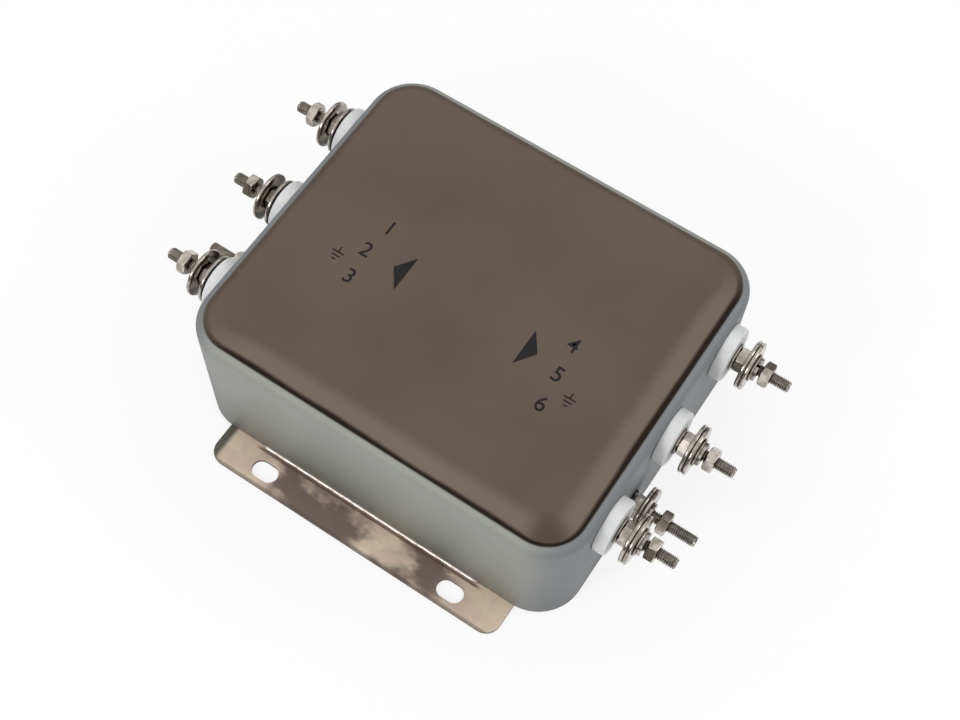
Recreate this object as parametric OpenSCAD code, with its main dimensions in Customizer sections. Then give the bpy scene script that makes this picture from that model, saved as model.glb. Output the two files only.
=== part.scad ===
// Three-phase line filter in a drawn steel can.
// X runs from the line terminals (-X) to the load terminals (+X), Z is up,
// and the origin lies on the mounting plane, at the centre of the four slots.

/* [Case] */
// Length of the drawn case, along X
case_l = 135; // [130:1:160]
// Width of the drawn case, along Y
case_w = 116; // [112:1:140]
// Height of the top of the case above the mounting plane
case_top = 51.5; // [51:0.5:62]
// Thickness of the case's sheet
case_t = 1; // [0.8:0.1:1.4]
// Outside radius of the case's upright corners
corner_r = 15; // [8:1:20]
// Outside radius along the top edge
top_r = 3.5; // [2:0.5:3.5]

/* [Base plate] */
// Thickness of the base plate
base_t = 1.2; // [1:0.1:2]
// How far the plate's edge lies inside the case's outline
base_inset = 0.6; // [0.2:0.1:1.2]
// Length of each mounting flange, along X
flange_l = 107; // [98:1:112]
// How far each flange stands out past the case
flange_w = 12.5; // [11:0.5:20]
// Radius of the flange's outer corners
flange_corner_r = 5; // [1:0.5:8]
// Width of the mounting slots
slot_w = 6; // [4.5:0.5:7]
// Length of the mounting slots, end to end
slot_l = 9; // [8:0.5:14]
// Distance between the slots of one flange
slot_spacing = 70; // [60:1:80]
// Distance of the slots' middles from the case's wall
slot_from_wall = 7; // [5:0.5:7.5]
// Length of the solder seam along each long side
seam_l = 82; // [60:1:95]
// Size of the solder seam
seam_r = 1.1; // [0.6:0.1:1.5]

/* [Terminals] */
// Distance between neighbouring terminals
terminal_pitch = 33.3; // [30:0.1:35]
// Height of the terminals above the mounting plane
terminal_z = 39; // [38:0.5:39]
// How far the studs stand out from the case's wall
stud_out = 23; // [21:0.5:30]
// Height of the ground studs above the mounting plane
ground_z = 19; // [16:0.5:22]
// Diameter of the insulators
insulator_d = 18; // [15:0.5:18]
// Thickness of the insulators outside the wall
insulator_t = 4.2; // [3:0.1:5]
// Diameter of the insulator's neck, where it passes through the wall
neck_d = 7; // [6.4:0.1:9]
// Diameter of the collar inside the wall
collar_d = 14; // [12:0.5:16]
// Thickness of the collar inside the wall
collar_t = 2.5; // [1.5:0.1:4]

/* [Fasteners] */
// Thread diameter of the studs
stud_d = 4; // [3.5:0.1:4.1]
// Pitch of the studs' thread
thread_pitch = 0.7; // [0.5:0.05:0.8]
// Width of the nuts across their flats
nut_af = 7; // [6.6:0.1:8]
// Height of the nuts
nut_h = 3.2; // [2.4:0.1:3.4]
// Height of the studs' hexagon heads
head_h = 2.8; // [2:0.1:4]
// Diameter of the small flat washers
flat_d = 9; // [8:0.5:10]
// Thickness of the small flat washers
flat_t = 0.8; // [0.5:0.1:1]
// Diameter of the large washers
large_d = 16; // [12:0.5:17]
// Thickness of the large washers
large_t = 1.2; // [0.8:0.1:1.5]
// Diameter of the spring washers
spring_d = 7.6; // [7:0.1:8.5]
// Thickness of the spring washers
spring_t = 1.1; // [0.8:0.1:1.2]
// Free thread between the spring washer and the outer nut, load end
load_nut_play = 1; // [0:0.1:2]
// Free thread between the spring washer and the outer nut, line end
line_nut_play = 2.4; // [0:0.1:3]
// Free thread between the spring washer and the outer nut, ground studs
ground_nut_play = 2.8; // [0:0.1:4]

/* [Circuit board] */
// Length of the circuit board, along X
board_l = 118; // [116:1:119]
// Width of the circuit board, along Y
board_w = 98; // [97:1:104]
// Thickness of the circuit board
board_t = 1.6; // [1.2:0.1:2]
// Radius of the circuit board's corners
board_corner_r = 2; // [1:0.5:3]
// Height of the spacers under the board
spacer_h = 5; // [4:0.5:6]
// Width of the spacers across their flats
spacer_af = 5.5; // [5:0.5:6]
// Distance of the board's screws from its edges
screw_from_edge = 4; // [4:0.5:5]
// Thread diameter of the board's screws
screw_d = 3; // [2.5:0.5:3]
// Thickness of the insulating sheet on the base plate
sheet_t = 0.4; // [0.2:0.1:0.8]
// How far the insulating sheet reaches past the board
sheet_margin = 2.5; // [2:0.1:2.8]

/* [Choke] */
// Outside diameter of the coated ring core
core_od = 64; // [60:1:66]
// Inside diameter of the coated ring core
core_id = 36; // [34:1:40]
// Height of the coated ring core
core_h = 25; // [20:1:27]
// Radius of the ring core's edges
core_edge_r = 2; // [1:0.5:3]
// Diameter of the winding wire
wire_d = 2; // [1.6:0.1:2.2]
// Turns of each of the three windings
turns = 9; // [6:1:10]
// Angle that each winding covers
winding_angle = 100; // [80:1:102]
// How far the wire cuts the corner as it bends round the core
wire_bevel = 1.8; // [1.2:0.1:2.4]
// Thickness of the spider that keeps the windings apart
fin_t = 2; // [1.5:0.1:2.4]
// Diameter of the spider's hub
hub_d = 8; // [6:0.5:10]

/* [Capacitors and leads] */
// Length of the film capacitors
film_cap_l = 26.5; // [24.5:0.5:28]
// Width of the film capacitors
film_cap_w = 10; // [8:0.5:11]
// Height of the film capacitors
film_cap_h = 19; // [14:0.5:20]
// Distance between the pins of a film capacitor
film_pin_pitch = 22.5; // [15:0.5:22.5]
// Distance of the film capacitors' middles from the board's centre
film_cap_x = 45; // [44:0.5:46]
// Distance between neighbouring film capacitors
film_cap_pitch = 30; // [29:0.5:31]
// Diameter of the disc capacitors to ground
disc_cap_d = 10; // [8:0.5:12]
// Thickness of the disc capacitors to ground
disc_cap_t = 4.5; // [3:0.5:5]
// Distance between the pins of a disc capacitor
disc_pin_pitch = 5; // [3:0.5:7]
// Diameter of the discharge resistors
resistor_d = 3.6; // [2.4:0.1:4]
// Length of the discharge resistors
resistor_l = 10; // [8:0.5:11]
// Distance from a resistor's end to its bent pin
resistor_bend = 1.5; // [1:0.1:1.6]
// Distance between neighbouring small parts on the board
small_pitch = 16; // [15:0.5:18]
// Distance of the small parts' middles from the board's long edges
small_from_edge = 7; // [6:0.5:8]
// Diameter of the component pins
pin_d = 0.8; // [0.6:0.1:1]
// Diameter of the insulated leads
lead_d = 2.4; // [1.8:0.1:3]
// Bend radius of the leads, at their middle
lead_bend_r = 4; // [3:0.5:4.5]
// Thickness of the solder tags
tag_t = 0.8; // [0.5:0.1:1]

/* [Hidden] */
LINE = -1;
LOAD = 1;
thread_gap = 0.05;      // nut on its stud, and screw in its spacer
washer_gap = 0.15;      // washer on its stud
pair_gap = 0.1;         // between two large washers that lie together
neck_gap = 0.2;         // insulator neck in the wall, and collar on the neck
winding_gap = 0.2;      // wire on the coated core
spider_gap = 0.15;      // spider's fin in the coated core
board_gap = 0.1;        // windings over the board
pin_gap = 0.15;         // pin in the board
sheet_gap = 0.6;        // spacer in the insulating sheet
pin_reach = 1.5;        // pins past the underside of the board
tag_d = 10;
tag_w = 4;
tag_reach = 12;         // from the stud's axis to the tag's round end
cut = 1;                // how far a cutting solid runs past what it cuts

board_z = base_t + spacer_h;
board_top = board_z + board_t;
roof_z = case_top - case_t;
head_af = nut_af;
engaged_d = stud_d - 0.65 * thread_pitch;       // pitch diameter, where a nut holds the thread
neck_l = case_t + collar_t / 2;
tag_face = case_t + collar_t + tag_t;           // inner face of a terminal's tag
ground_tag_face = case_t + tag_t;               // inner face of a ground tag
core_z = board_top + board_gap + wire_d + winding_gap;
spacer_x = board_l / 2 - screw_from_edge;
spacer_y = board_w / 2 - screw_from_edge;

// Stack on each stud, as distances from the case's outer wall
seat_washer_z = insulator_t;
load_lock_nut_z = seat_washer_z + flat_t;
load_large_z = load_lock_nut_z + nut_h;
load_flat_z = load_large_z + 2 * large_t + pair_gap;
load_spring_z = load_flat_z + flat_t;
load_outer_nut_z = load_spring_z + spring_t + load_nut_play;
line_inner_large_z = seat_washer_z + flat_t;
line_lock_nut_z = line_inner_large_z + large_t;
line_large_z = line_lock_nut_z + nut_h;
line_flat_z = line_large_z + large_t;
line_spring_z = line_flat_z + flat_t;
line_outer_nut_z = line_spring_z + spring_t + line_nut_play;
ground_lock_nut_z = flat_t;
ground_large_z = ground_lock_nut_z + nut_h;
ground_spring_z = ground_large_z + 2 * large_t + pair_gap;
ground_outer_nut_z = ground_spring_z + spring_t + ground_nut_play;
load_nut_places = [load_lock_nut_z, load_outer_nut_z];
line_nut_places = [line_lock_nut_z, line_outer_nut_z];
ground_nut_places = [ground_lock_nut_z, ground_outer_nut_z];

$fn = 48;

// ---- Places ----------------------------------------------------------------

function terminal_y(i) = (1 - i) * terminal_pitch;
ground_y = (terminal_y(1) + terminal_y(2)) / 2;

// Origin on the outer face of an end wall, +Z straight out of it, +X down
module on_wall(side, y, z) {
    translate([side * case_l / 2, y, z])
        rotate([0, side * 90, 0])
            rotate([0, 0, side > 0 ? 0 : 180])
                children();
}

module at_terminal(side, i) {
    on_wall(side, terminal_y(i), terminal_z) children();
}

module at_terminals(side) {
    for (i = [0:2]) at_terminal(side, i) children();
}

module at_grounds() {
    for (side = [LINE, LOAD]) on_wall(side, ground_y, ground_z) children();
}

module at_spacers(z) {
    for (x = [-spacer_x, spacer_x], y = [-spacer_y, spacer_y]) translate([x, y, z]) children();
}

// ---- Shapes that repeat ----------------------------------------------------

module washer(od, t) {
    difference() {
        cylinder(d = od, h = t);
        translate([0, 0, -cut]) cylinder(d = stud_d + 2 * washer_gap, h = t + 2 * cut);
    }
}

// A hexagon with the corners of both faces, or of one, turned down to a cone
module hexagon(af, h, both = true) {
    across = af / cos(30);
    drop = (across - af) / 2 * tan(30);
    intersection() {
        cylinder(d = across, h = h, $fn = 6);
        union() {
            translate([0, 0, h - drop]) cylinder(d1 = across, d2 = af, h = drop);
            translate([0, 0, both ? drop : 0])
                cylinder(d = across, h = h - drop - (both ? drop : 0));
            if (both) cylinder(d1 = af, d2 = across, h = drop);
        }
    }
}

module nut() {
    difference() {
        hexagon(nut_af, nut_h);
        translate([0, 0, -cut]) cylinder(d = engaged_d + 2 * thread_gap, h = nut_h + 2 * cut);
    }
}

// Split ring, with its slit cut on the slant
module spring_washer() {
    slit = 0.9;
    slant = 35;
    difference() {
        washer(spring_d, spring_t);
        translate([0, -spring_d / 2, spring_t / 2])
            rotate([0, slant, 0])
                cube([slit, spring_d, 3 * spring_t], center = true);
    }
}

// Lock washer with teeth around its rim
module tooth_washer() {
    teeth = 10;
    notch = 1;
    difference() {
        washer(flat_d, flat_t);
        for (k = [0:teeth - 1])
            rotate([0, 0, k * 360 / teeth])
                translate([flat_d / 2, 0, flat_t / 2])
                    cube([2 * notch, notch, flat_t + 2 * cut], center = true);
    }
}

// Screw whose head is held inside the case and whose thread is the stud. The thread is
// plain: full diameter where it is free, and pitch diameter inside each of the nuts
module stud(head_face, nut_places) {
    chamfer = 0.5;
    translate([0, 0, -head_face]) rotate([180, 0, 0]) hexagon(head_af, head_h, both = false);
    difference() {
        translate([0, 0, -head_face]) cylinder(d = stud_d, h = head_face + stud_out - chamfer);
        for (z = nut_places) translate([0, 0, z]) difference() {
            cylinder(d = stud_d + cut, h = nut_h);
            translate([0, 0, -cut]) cylinder(d = engaged_d, h = nut_h + 2 * cut);
        }
    }
    translate([0, 0, stud_out - chamfer])
        cylinder(d1 = stud_d, d2 = stud_d - 2 * chamfer, h = chamfer);
}

module tag() {
    difference() {
        union() {
            cylinder(d = tag_d, h = tag_t);
            translate([0, -tag_w / 2, 0]) cube([tag_reach, tag_w, tag_t]);
            translate([tag_reach, 0, 0]) cylinder(d = tag_w, h = tag_t);
        }
        translate([0, 0, -cut]) cylinder(d = stud_d + 2 * washer_gap, h = tag_t + 2 * cut);
    }
}

// ---- Case and base ---------------------------------------------------------

// Filled half section of a can with radius r, edge radius e and roof at z1
module can_section(r, e, z0, z1) {
    translate([0, z0]) square([r, z1 - e - z0]);
    translate([0, z0]) square([r - e, z1 - z0]);
    translate([r - e, z1 - e]) intersection() {
        circle(r = e);
        square([e, e]);
    }
}

// The drawn sheet in section, from the corner's centre out to the wall
module sheet_section() {
    difference() {
        can_section(corner_r, top_r, base_t, case_top);
        can_section(corner_r - case_t, top_r - case_t, base_t - cut, roof_z);
    }
}

module straight_side(l) {
    rotate([90, 0, 0]) linear_extrude(l, center = true) sheet_section();
}

module case() {
    dx = case_l / 2 - corner_r;
    dy = case_w / 2 - corner_r;
    color("#6e6459") difference() {
        union() {
            for (q = [0:3])
                translate([(q == 0 || q == 3 ? 1 : -1) * dx, (q < 2 ? 1 : -1) * dy, 0])
                    rotate([0, 0, 90 * q]) rotate_extrude(angle = 90) sheet_section();
            for (s = [0, 1]) {
                rotate([0, 0, 180 * s]) translate([dx, 0, 0]) straight_side(2 * dy);
                rotate([0, 0, 180 * s + 90]) translate([dy, 0, 0]) straight_side(2 * dx);
            }
            translate([-dx, -dy, roof_z]) cube([2 * dx, 2 * dy, case_t]);
        }
        for (side = [LINE, LOAD]) at_terminals(side)
            cylinder(d = neck_d + 2 * neck_gap, h = 4 * case_t, center = true);
        at_grounds() cylinder(d = stud_d + 2 * washer_gap, h = 4 * case_t, center = true);
    }
}

// Rectangle with round corners, centred
module rounded_rect(l, w, r) {
    square([l - 2 * r, w], center = true);
    square([l, w - 2 * r], center = true);
    for (x = [-1, 1], y = [-1, 1]) translate([x * (l / 2 - r), y * (w / 2 - r)]) circle(r = r);
}

module slot() {
    run = slot_l - slot_w;
    square([run, slot_w], center = true);
    for (x = [-run / 2, run / 2]) translate([x, 0]) circle(d = slot_w);
}

module base_plate() {
    color("#a89a8b") linear_extrude(base_t) difference() {
        union() {
            rounded_rect(case_l - 2 * base_inset, case_w - 2 * base_inset, corner_r - base_inset);
            rounded_rect(flange_l, case_w + 2 * flange_w, flange_corner_r);
        }
        for (x = [-1, 1], y = [-1, 1])
            translate([x * slot_spacing / 2, y * (case_w / 2 + slot_from_wall)]) slot();
    }
}

// Solder bead in the corner between the wall and the flange, on both long sides
module solder_seams() {
    color("#b9b0a6") for (s = [0, 1])
        rotate([0, 0, 180 * s]) translate([0, case_w / 2, base_t])
            intersection() {
                rotate([0, 90, 0]) cylinder(r = seam_r, h = seam_l, center = true);
                translate([-seam_l / 2, 0, 0]) cube([seam_l, 2 * seam_r, 2 * seam_r]);
            }
}

// ---- Terminals -------------------------------------------------------------

// Flanged bush: its neck passes through the wall into the inner collar
module insulator() {
    edge = 0.6;
    color("#d3dadb") difference() {
        union() {
            cylinder(d = insulator_d, h = insulator_t - edge);
            translate([0, 0, insulator_t - edge])
                cylinder(d1 = insulator_d, d2 = insulator_d - 2 * edge, h = edge);
            translate([0, 0, -neck_l]) cylinder(d = neck_d, h = neck_l + insulator_t / 2);
        }
        translate([0, 0, -neck_l - cut])
            cylinder(d = stud_d + 2 * washer_gap, h = neck_l + insulator_t + 2 * cut);
    }
}

module inner_collars(side) {
    color("#d3dadb") at_terminals(side) translate([0, 0, -case_t - collar_t]) difference() {
        cylinder(d = collar_d, h = collar_t);
        translate([0, 0, collar_t - neck_l + case_t - neck_gap])
            cylinder(d = neck_d + 2 * neck_gap, h = collar_t);
        translate([0, 0, -cut]) cylinder(d = stud_d + 2 * washer_gap, h = collar_t + 2 * cut);
    }
}

module terminal_stud(side, i) {
    color("#8f8a80") at_terminal(side, i)
        stud(tag_face, side == LOAD ? load_nut_places : line_nut_places);
}

module ground_stud(side) {
    color("#8f8a80") on_wall(side, ground_y, ground_z) stud(ground_tag_face, ground_nut_places);
}

module nuts(side, z) {
    color("#7d776c") at_terminals(side) translate([0, 0, z]) nut();
}

module washers(side, z, od, t) {
    color("#a39c90") at_terminals(side) translate([0, 0, z]) washer(od, t);
}

module spring_washers(side, z) {
    color("#8b857a") at_terminals(side) translate([0, 0, z]) spring_washer();
}

// Pair of large washers that clamp a cable lug: they lie together at the load end,
// and either side of the lock nut at the line end
module large_washers(side) {
    washers(side, side == LOAD ? load_large_z : line_inner_large_z, large_d, large_t);
    washers(side, side == LOAD ? load_large_z + large_t + pair_gap : line_large_z,
        large_d, large_t);
}

module ground_tooth_washers() {
    color("#8b857a") at_grounds() tooth_washer();
}

module ground_lock_nuts() {
    color("#7d776c") at_grounds() translate([0, 0, ground_lock_nut_z]) nut();
}

module ground_large_washers() {
    color("#a39c90") at_grounds() for (k = [0, 1])
        translate([0, 0, ground_large_z + k * (large_t + pair_gap)]) washer(large_d, large_t);
}

module ground_spring_washers() {
    color("#8b857a") at_grounds() translate([0, 0, ground_spring_z]) spring_washer();
}

module ground_outer_nuts() {
    color("#7d776c") at_grounds() translate([0, 0, ground_outer_nut_z]) nut();
}

// Terminal tags hang down from their studs, ground tags stand up from theirs
module solder_tags(side) {
    color("#c9b27a") at_terminals(side) translate([0, 0, -tag_face]) tag();
}

module ground_tags() {
    color("#c9b27a") at_grounds() translate([0, 0, -ground_tag_face]) rotate([0, 0, 180]) tag();
}

// ---- Circuit board ---------------------------------------------------------

module insulating_sheet() {
    color("#d8cfa8") translate([0, 0, base_t]) difference() {
        linear_extrude(sheet_t)
            square([board_l + 2 * sheet_margin, board_w + 2 * sheet_margin], center = true);
        at_spacers(-cut) cylinder(d = spacer_af / cos(30) + 2 * sheet_gap, h = sheet_t + 2 * cut);
    }
}

module board_spacers() {
    color("#b8a15e") at_spacers(base_t) difference() {
        cylinder(d = spacer_af / cos(30), h = spacer_h, $fn = 6);
        translate([0, 0, cut]) cylinder(d = screw_d + 2 * thread_gap, h = spacer_h);
    }
}

module board_screws() {
    head = 1.8 * screw_d;
    head_t = 0.6 * screw_d;
    shank = spacer_h + board_t - 2 * cut;
    color("#9a968c") at_spacers(board_top) difference() {
        union() {
            translate([0, 0, -shank]) cylinder(d = screw_d, h = shank + head_t / 2);
            cylinder(d1 = head, d2 = 0.8 * head, h = head_t);
        }
        for (a = [0, 90]) rotate([0, 0, a])
            translate([0, 0, head_t]) cube([0.6 * head, 0.5, head_t], center = true);
    }
}

// Places of the pins, shared by the board's holes and by the parts
film_pin = film_pin_pitch / 2;
disc_pin = disc_pin_pitch / 2;
resistor_pin = resistor_l / 2 + resistor_bend;

module at_film_cap(side, i) {
    translate([side * film_cap_x, (1 - i) * film_cap_pitch, board_top]) children();
}

module at_small_parts(s) {
    for (i = [-1:1])
        translate([i * small_pitch, s * (board_w / 2 - small_from_edge), board_top]) children();
}

module pin() {
    translate([0, 0, -board_t - pin_reach]) cylinder(d = pin_d, h = board_t + pin_reach + pin_d);
}

module pin_hole() {
    translate([0, 0, -board_t - cut]) cylinder(d = pin_d + 2 * pin_gap, h = board_t + 2 * cut);
}

module circuit_board() {
    color("#5f7a45") difference() {
        translate([0, 0, board_z]) linear_extrude(board_t)
            rounded_rect(board_l, board_w, board_corner_r);
        at_spacers(board_z - cut) cylinder(d = screw_d + 2 * washer_gap, h = board_t + 2 * cut);
        for (side = [LINE, LOAD], i = [0:2], y = [-film_pin, film_pin])
            at_film_cap(side, i) translate([0, y, 0]) pin_hole();
        at_small_parts(-1) for (x = [-disc_pin, disc_pin]) translate([x, 0, 0]) pin_hole();
        at_small_parts(1) for (x = [-resistor_pin, resistor_pin]) translate([x, 0, 0]) pin_hole();
    }
}

module x_capacitor(side, i) {
    color("#c7a23a") at_film_cap(side, i) {
        translate([0, 0, film_cap_h / 2])
            cube([film_cap_w, film_cap_l, film_cap_h], center = true);
        for (y = [-film_pin, film_pin]) translate([0, y, 0]) pin();
    }
}

module y_capacitors() {
    stand = 1.5;
    color("#3f6fa8") at_small_parts(-1) {
        translate([0, 0, stand + disc_cap_d / 2]) rotate([90, 0, 0]) {
            cylinder(d = disc_cap_d, h = 0.6 * disc_cap_t, center = true);
            for (a = [0, 180]) rotate([a, 0, 0]) translate([0, 0, 0.3 * disc_cap_t])
                cylinder(d1 = disc_cap_d, d2 = 0.7 * disc_cap_d, h = 0.2 * disc_cap_t);
        }
        for (x = [-disc_pin, disc_pin]) translate([x, 0, stand]) {
            cylinder(d = pin_d, h = 2 * stand);
            translate([0, 0, -board_t - pin_reach - stand])
                cylinder(d = pin_d, h = board_t + pin_reach + stand);
        }
    }
}

module discharge_resistors() {
    color("#b9a27c") at_small_parts(1) translate([0, 0, resistor_d / 2 + board_gap]) {
        rotate([0, 90, 0]) cylinder(d = resistor_d, h = resistor_l, center = true);
        rotate([0, 90, 0]) cylinder(d = pin_d, h = 2 * resistor_pin + pin_d, center = true);
        for (x = [-resistor_pin, resistor_pin])
            translate([x, 0, -resistor_d / 2 - board_gap - board_t - pin_reach])
                cylinder(d = pin_d, h = resistor_d / 2 + board_gap + board_t + pin_reach);
    }
}

// ---- Choke -----------------------------------------------------------------

module choke_core() {
    wall = (core_od - core_id) / 2;
    color("#4c6b58") translate([0, 0, core_z]) rotate_extrude()
        translate([core_id / 2 + wall / 2, core_h / 2]) rounded_rect(wall, core_h, core_edge_r);
}

// The wire's path round the core's section, as [radius, height], eight points a turn
wire_off = wire_d / 2 + winding_gap;
wire_in = core_id / 2 - wire_off;
wire_out = core_od / 2 + wire_off;
wire_lo = core_z - wire_off;
wire_hi = core_z + core_h + wire_off;
loop_path = [
    [wire_out, wire_lo + wire_bevel], [wire_out, wire_hi - wire_bevel],
    [wire_out - wire_bevel, wire_hi], [wire_in + wire_bevel, wire_hi],
    [wire_in, wire_hi - wire_bevel], [wire_in, wire_lo + wire_bevel],
    [wire_in + wire_bevel, wire_lo], [wire_out - wire_bevel, wire_lo]
];
// Share of a turn's advance that is reached at each of the eight points
advance = [0, 0, 0.05, 0.45, 0.5, 0.5, 0.55, 0.95];

function on_core(p, a) = [p[0] * cos(a), p[0] * sin(a), p[1]];
function unit(v) = v / norm(v);

// Whole path of one winding, from its start on the board to its end on the board
function winding_path(a0) =
    let (step = winding_angle / turns)
    concat(
        [on_core([wire_out, board_top], a0)],
        [for (t = [0:turns - 1], k = [0:7]) on_core(loop_path[k], a0 + (t + advance[k]) * step)],
        [on_core(loop_path[0], a0 + winding_angle), on_core([wire_out, board_top], a0 + winding_angle)]
    );

// Round wire of diameter d along the points of a path that goes round the core
module wire(path, d, sides = 6) {
    last = len(path) - 1;
    rings = [for (i = [0:last])
        let (
            p = path[i],
            along = unit(path[min(i + 1, last)] - path[max(i - 1, 0)]),
            round = unit([-p[1], p[0], 0]),
            n = unit(round - along * (round * along)),
            b = cross(along, n)
        )
        for (k = [0:sides - 1])
            p + d / 2 * (cos(k * 360 / sides) * n + sin(k * 360 / sides) * b)];
    tube = [for (i = [0:last - 1], k = [0:sides - 1])
        let (m = (k + 1) % sides)
        [i * sides + k, i * sides + m, (i + 1) * sides + m, (i + 1) * sides + k]];
    polyhedron(
        rings,
        concat([[for (k = [sides - 1:-1:0]) k]], tube, [[for (k = [0:sides - 1]) last * sides + k]])
    );
}

module choke_winding(i) {
    color("#a5602f") wire(winding_path(120 * i - winding_angle / 2), wire_d);
}

// Hub with a fin in each gap between the windings
module choke_spider() {
    color("#e2dccb") translate([0, 0, board_top]) {
        cylinder(d = hub_d, h = wire_hi - board_top);
        for (i = [0:2]) rotate([0, 0, 120 * i + 60])
            translate([0, -fin_t / 2, 0]) cube([core_id / 2 - spider_gap, fin_t, wire_hi - board_top]);
    }
}

// ---- Leads -----------------------------------------------------------------

// Insulated lead from a tag's end, at height z over the tag's face, down to the board
module lead(side, y, z, face) {
    level = z - board_top;
    bay = case_l / 2 - face - film_cap_x - film_cap_w / 2;      // between tag and capacitor
    reach = max(bay / 2, bay - 2 * lead_d);
    bend = min(lead_bend_r, reach - lead_d / 2);
    translate([side * (case_l / 2 - face), y, z]) rotate([0, 0, side > 0 ? 180 : 0]) {
        rotate([0, 90, 0]) cylinder(d = lead_d, h = reach - bend);
        translate([reach - bend, 0, -bend]) rotate([90, 0, 0])
            rotate_extrude(angle = 90) translate([bend, 0]) circle(d = lead_d);
        translate([reach, 0, -level]) cylinder(d = lead_d, h = level - bend);
    }
}

module terminal_leads(side) {
    color("#2f2f33") for (i = [0:2])
        lead(side, terminal_y(i), terminal_z - tag_reach, tag_face);
}

module ground_leads() {
    color("#7f9a3a") for (side = [LINE, LOAD])
        lead(side, ground_y, ground_z + tag_reach, ground_tag_face);
}

// ---- Nodes -----------------------------------------------------------------

case();
base_plate();
solder_seams();
at_terminal(LINE, 0) insulator();  // line_insulator_1
at_terminal(LINE, 1) insulator();  // line_insulator_2
at_terminal(LINE, 2) insulator();  // line_insulator_3
at_terminal(LOAD, 0) insulator();  // load_insulator_1
at_terminal(LOAD, 1) insulator();  // load_insulator_2
at_terminal(LOAD, 2) insulator();  // load_insulator_3
terminal_stud(LINE, 0);  // line_stud_1
terminal_stud(LINE, 1);  // line_stud_2
terminal_stud(LINE, 2);  // line_stud_3
terminal_stud(LOAD, 0);  // load_stud_1
terminal_stud(LOAD, 1);  // load_stud_2
terminal_stud(LOAD, 2);  // load_stud_3
ground_stud(LINE);  // line_ground_stud
ground_stud(LOAD);  // load_ground_stud
washers(LINE, seat_washer_z, flat_d, flat_t);  // line_seat_washers
nuts(LINE, line_lock_nut_z);  // line_lock_nuts
large_washers(LINE);  // line_large_washers
washers(LINE, line_flat_z, flat_d, flat_t);  // line_flat_washers
spring_washers(LINE, line_spring_z);  // line_spring_washers
nuts(LINE, line_outer_nut_z);  // line_outer_nuts
washers(LOAD, seat_washer_z, flat_d, flat_t);  // load_seat_washers
nuts(LOAD, load_lock_nut_z);  // load_lock_nuts
large_washers(LOAD);  // load_large_washers
washers(LOAD, load_flat_z, flat_d, flat_t);  // load_flat_washers
spring_washers(LOAD, load_spring_z);  // load_spring_washers
nuts(LOAD, load_outer_nut_z);  // load_outer_nuts
ground_tooth_washers();
ground_lock_nuts();
ground_large_washers();
ground_spring_washers();
ground_outer_nuts();
inner_collars(LINE);  // line_inner_collars
inner_collars(LOAD);  // load_inner_collars
solder_tags(LINE);  // line_solder_tags
solder_tags(LOAD);  // load_solder_tags
ground_tags();
insulating_sheet();
board_spacers();
circuit_board();
board_screws();
choke_core();
choke_winding(0);  // choke_winding_1
choke_winding(1);  // choke_winding_2
choke_winding(2);  // choke_winding_3
choke_spider();
x_capacitor(LINE, 0);  // line_x_capacitor_1
x_capacitor(LINE, 1);  // line_x_capacitor_2
x_capacitor(LINE, 2);  // line_x_capacitor_3
x_capacitor(LOAD, 0);  // load_x_capacitor_1
x_capacitor(LOAD, 1);  // load_x_capacitor_2
x_capacitor(LOAD, 2);  // load_x_capacitor_3
y_capacitors();
discharge_resistors();
terminal_leads(LINE);  // line_leads
terminal_leads(LOAD);  // load_leads
ground_leads();
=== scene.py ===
"""Three-phase line filter in a drawn, tin-plated steel can.

Metres, in the model's own frame: X from the line terminals to the load terminals, Z up from
the mounting plane. The sections follow the filter as it is put together.
"""

import bmesh
import bpy
import math
from mathutils import Matrix, Vector


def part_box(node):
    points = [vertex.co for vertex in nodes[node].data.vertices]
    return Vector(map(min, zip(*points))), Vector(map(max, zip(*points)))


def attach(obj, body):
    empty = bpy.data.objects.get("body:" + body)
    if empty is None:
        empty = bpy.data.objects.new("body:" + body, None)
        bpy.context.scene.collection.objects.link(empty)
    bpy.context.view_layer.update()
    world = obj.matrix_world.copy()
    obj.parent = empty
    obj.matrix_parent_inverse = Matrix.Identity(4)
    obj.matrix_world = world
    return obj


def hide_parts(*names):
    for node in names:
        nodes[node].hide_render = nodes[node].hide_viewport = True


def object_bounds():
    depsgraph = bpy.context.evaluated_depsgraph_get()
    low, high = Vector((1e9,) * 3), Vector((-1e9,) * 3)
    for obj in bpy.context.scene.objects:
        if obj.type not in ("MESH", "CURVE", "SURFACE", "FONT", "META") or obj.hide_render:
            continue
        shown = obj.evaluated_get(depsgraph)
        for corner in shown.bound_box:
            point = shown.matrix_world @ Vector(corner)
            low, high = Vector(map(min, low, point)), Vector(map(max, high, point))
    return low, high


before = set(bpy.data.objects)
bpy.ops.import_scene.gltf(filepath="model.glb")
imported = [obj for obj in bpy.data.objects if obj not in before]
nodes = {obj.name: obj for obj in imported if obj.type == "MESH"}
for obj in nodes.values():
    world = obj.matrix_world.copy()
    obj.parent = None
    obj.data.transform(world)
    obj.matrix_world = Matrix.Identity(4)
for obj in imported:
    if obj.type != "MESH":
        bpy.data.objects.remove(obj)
cad_lo, cad_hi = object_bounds()
MM = 0.001

# ---- Camera ------------------------------------------------------------------
# A short telephoto view from high above the load end's front corner, held with a
# slight roll, so that the near mounting flange and all the load studs show.

CAMERA_AZIMUTH = math.radians(30.98)
CAMERA_ELEVATION = math.radians(63.36)
CAMERA_ROLL = math.radians(2.86)
CAMERA_DISTANCE = 515.5 * MM
CAMERA_TARGET = Vector((-1.1, 6.0, 0)) * MM
CAMERA_LENS = 59.18

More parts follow.
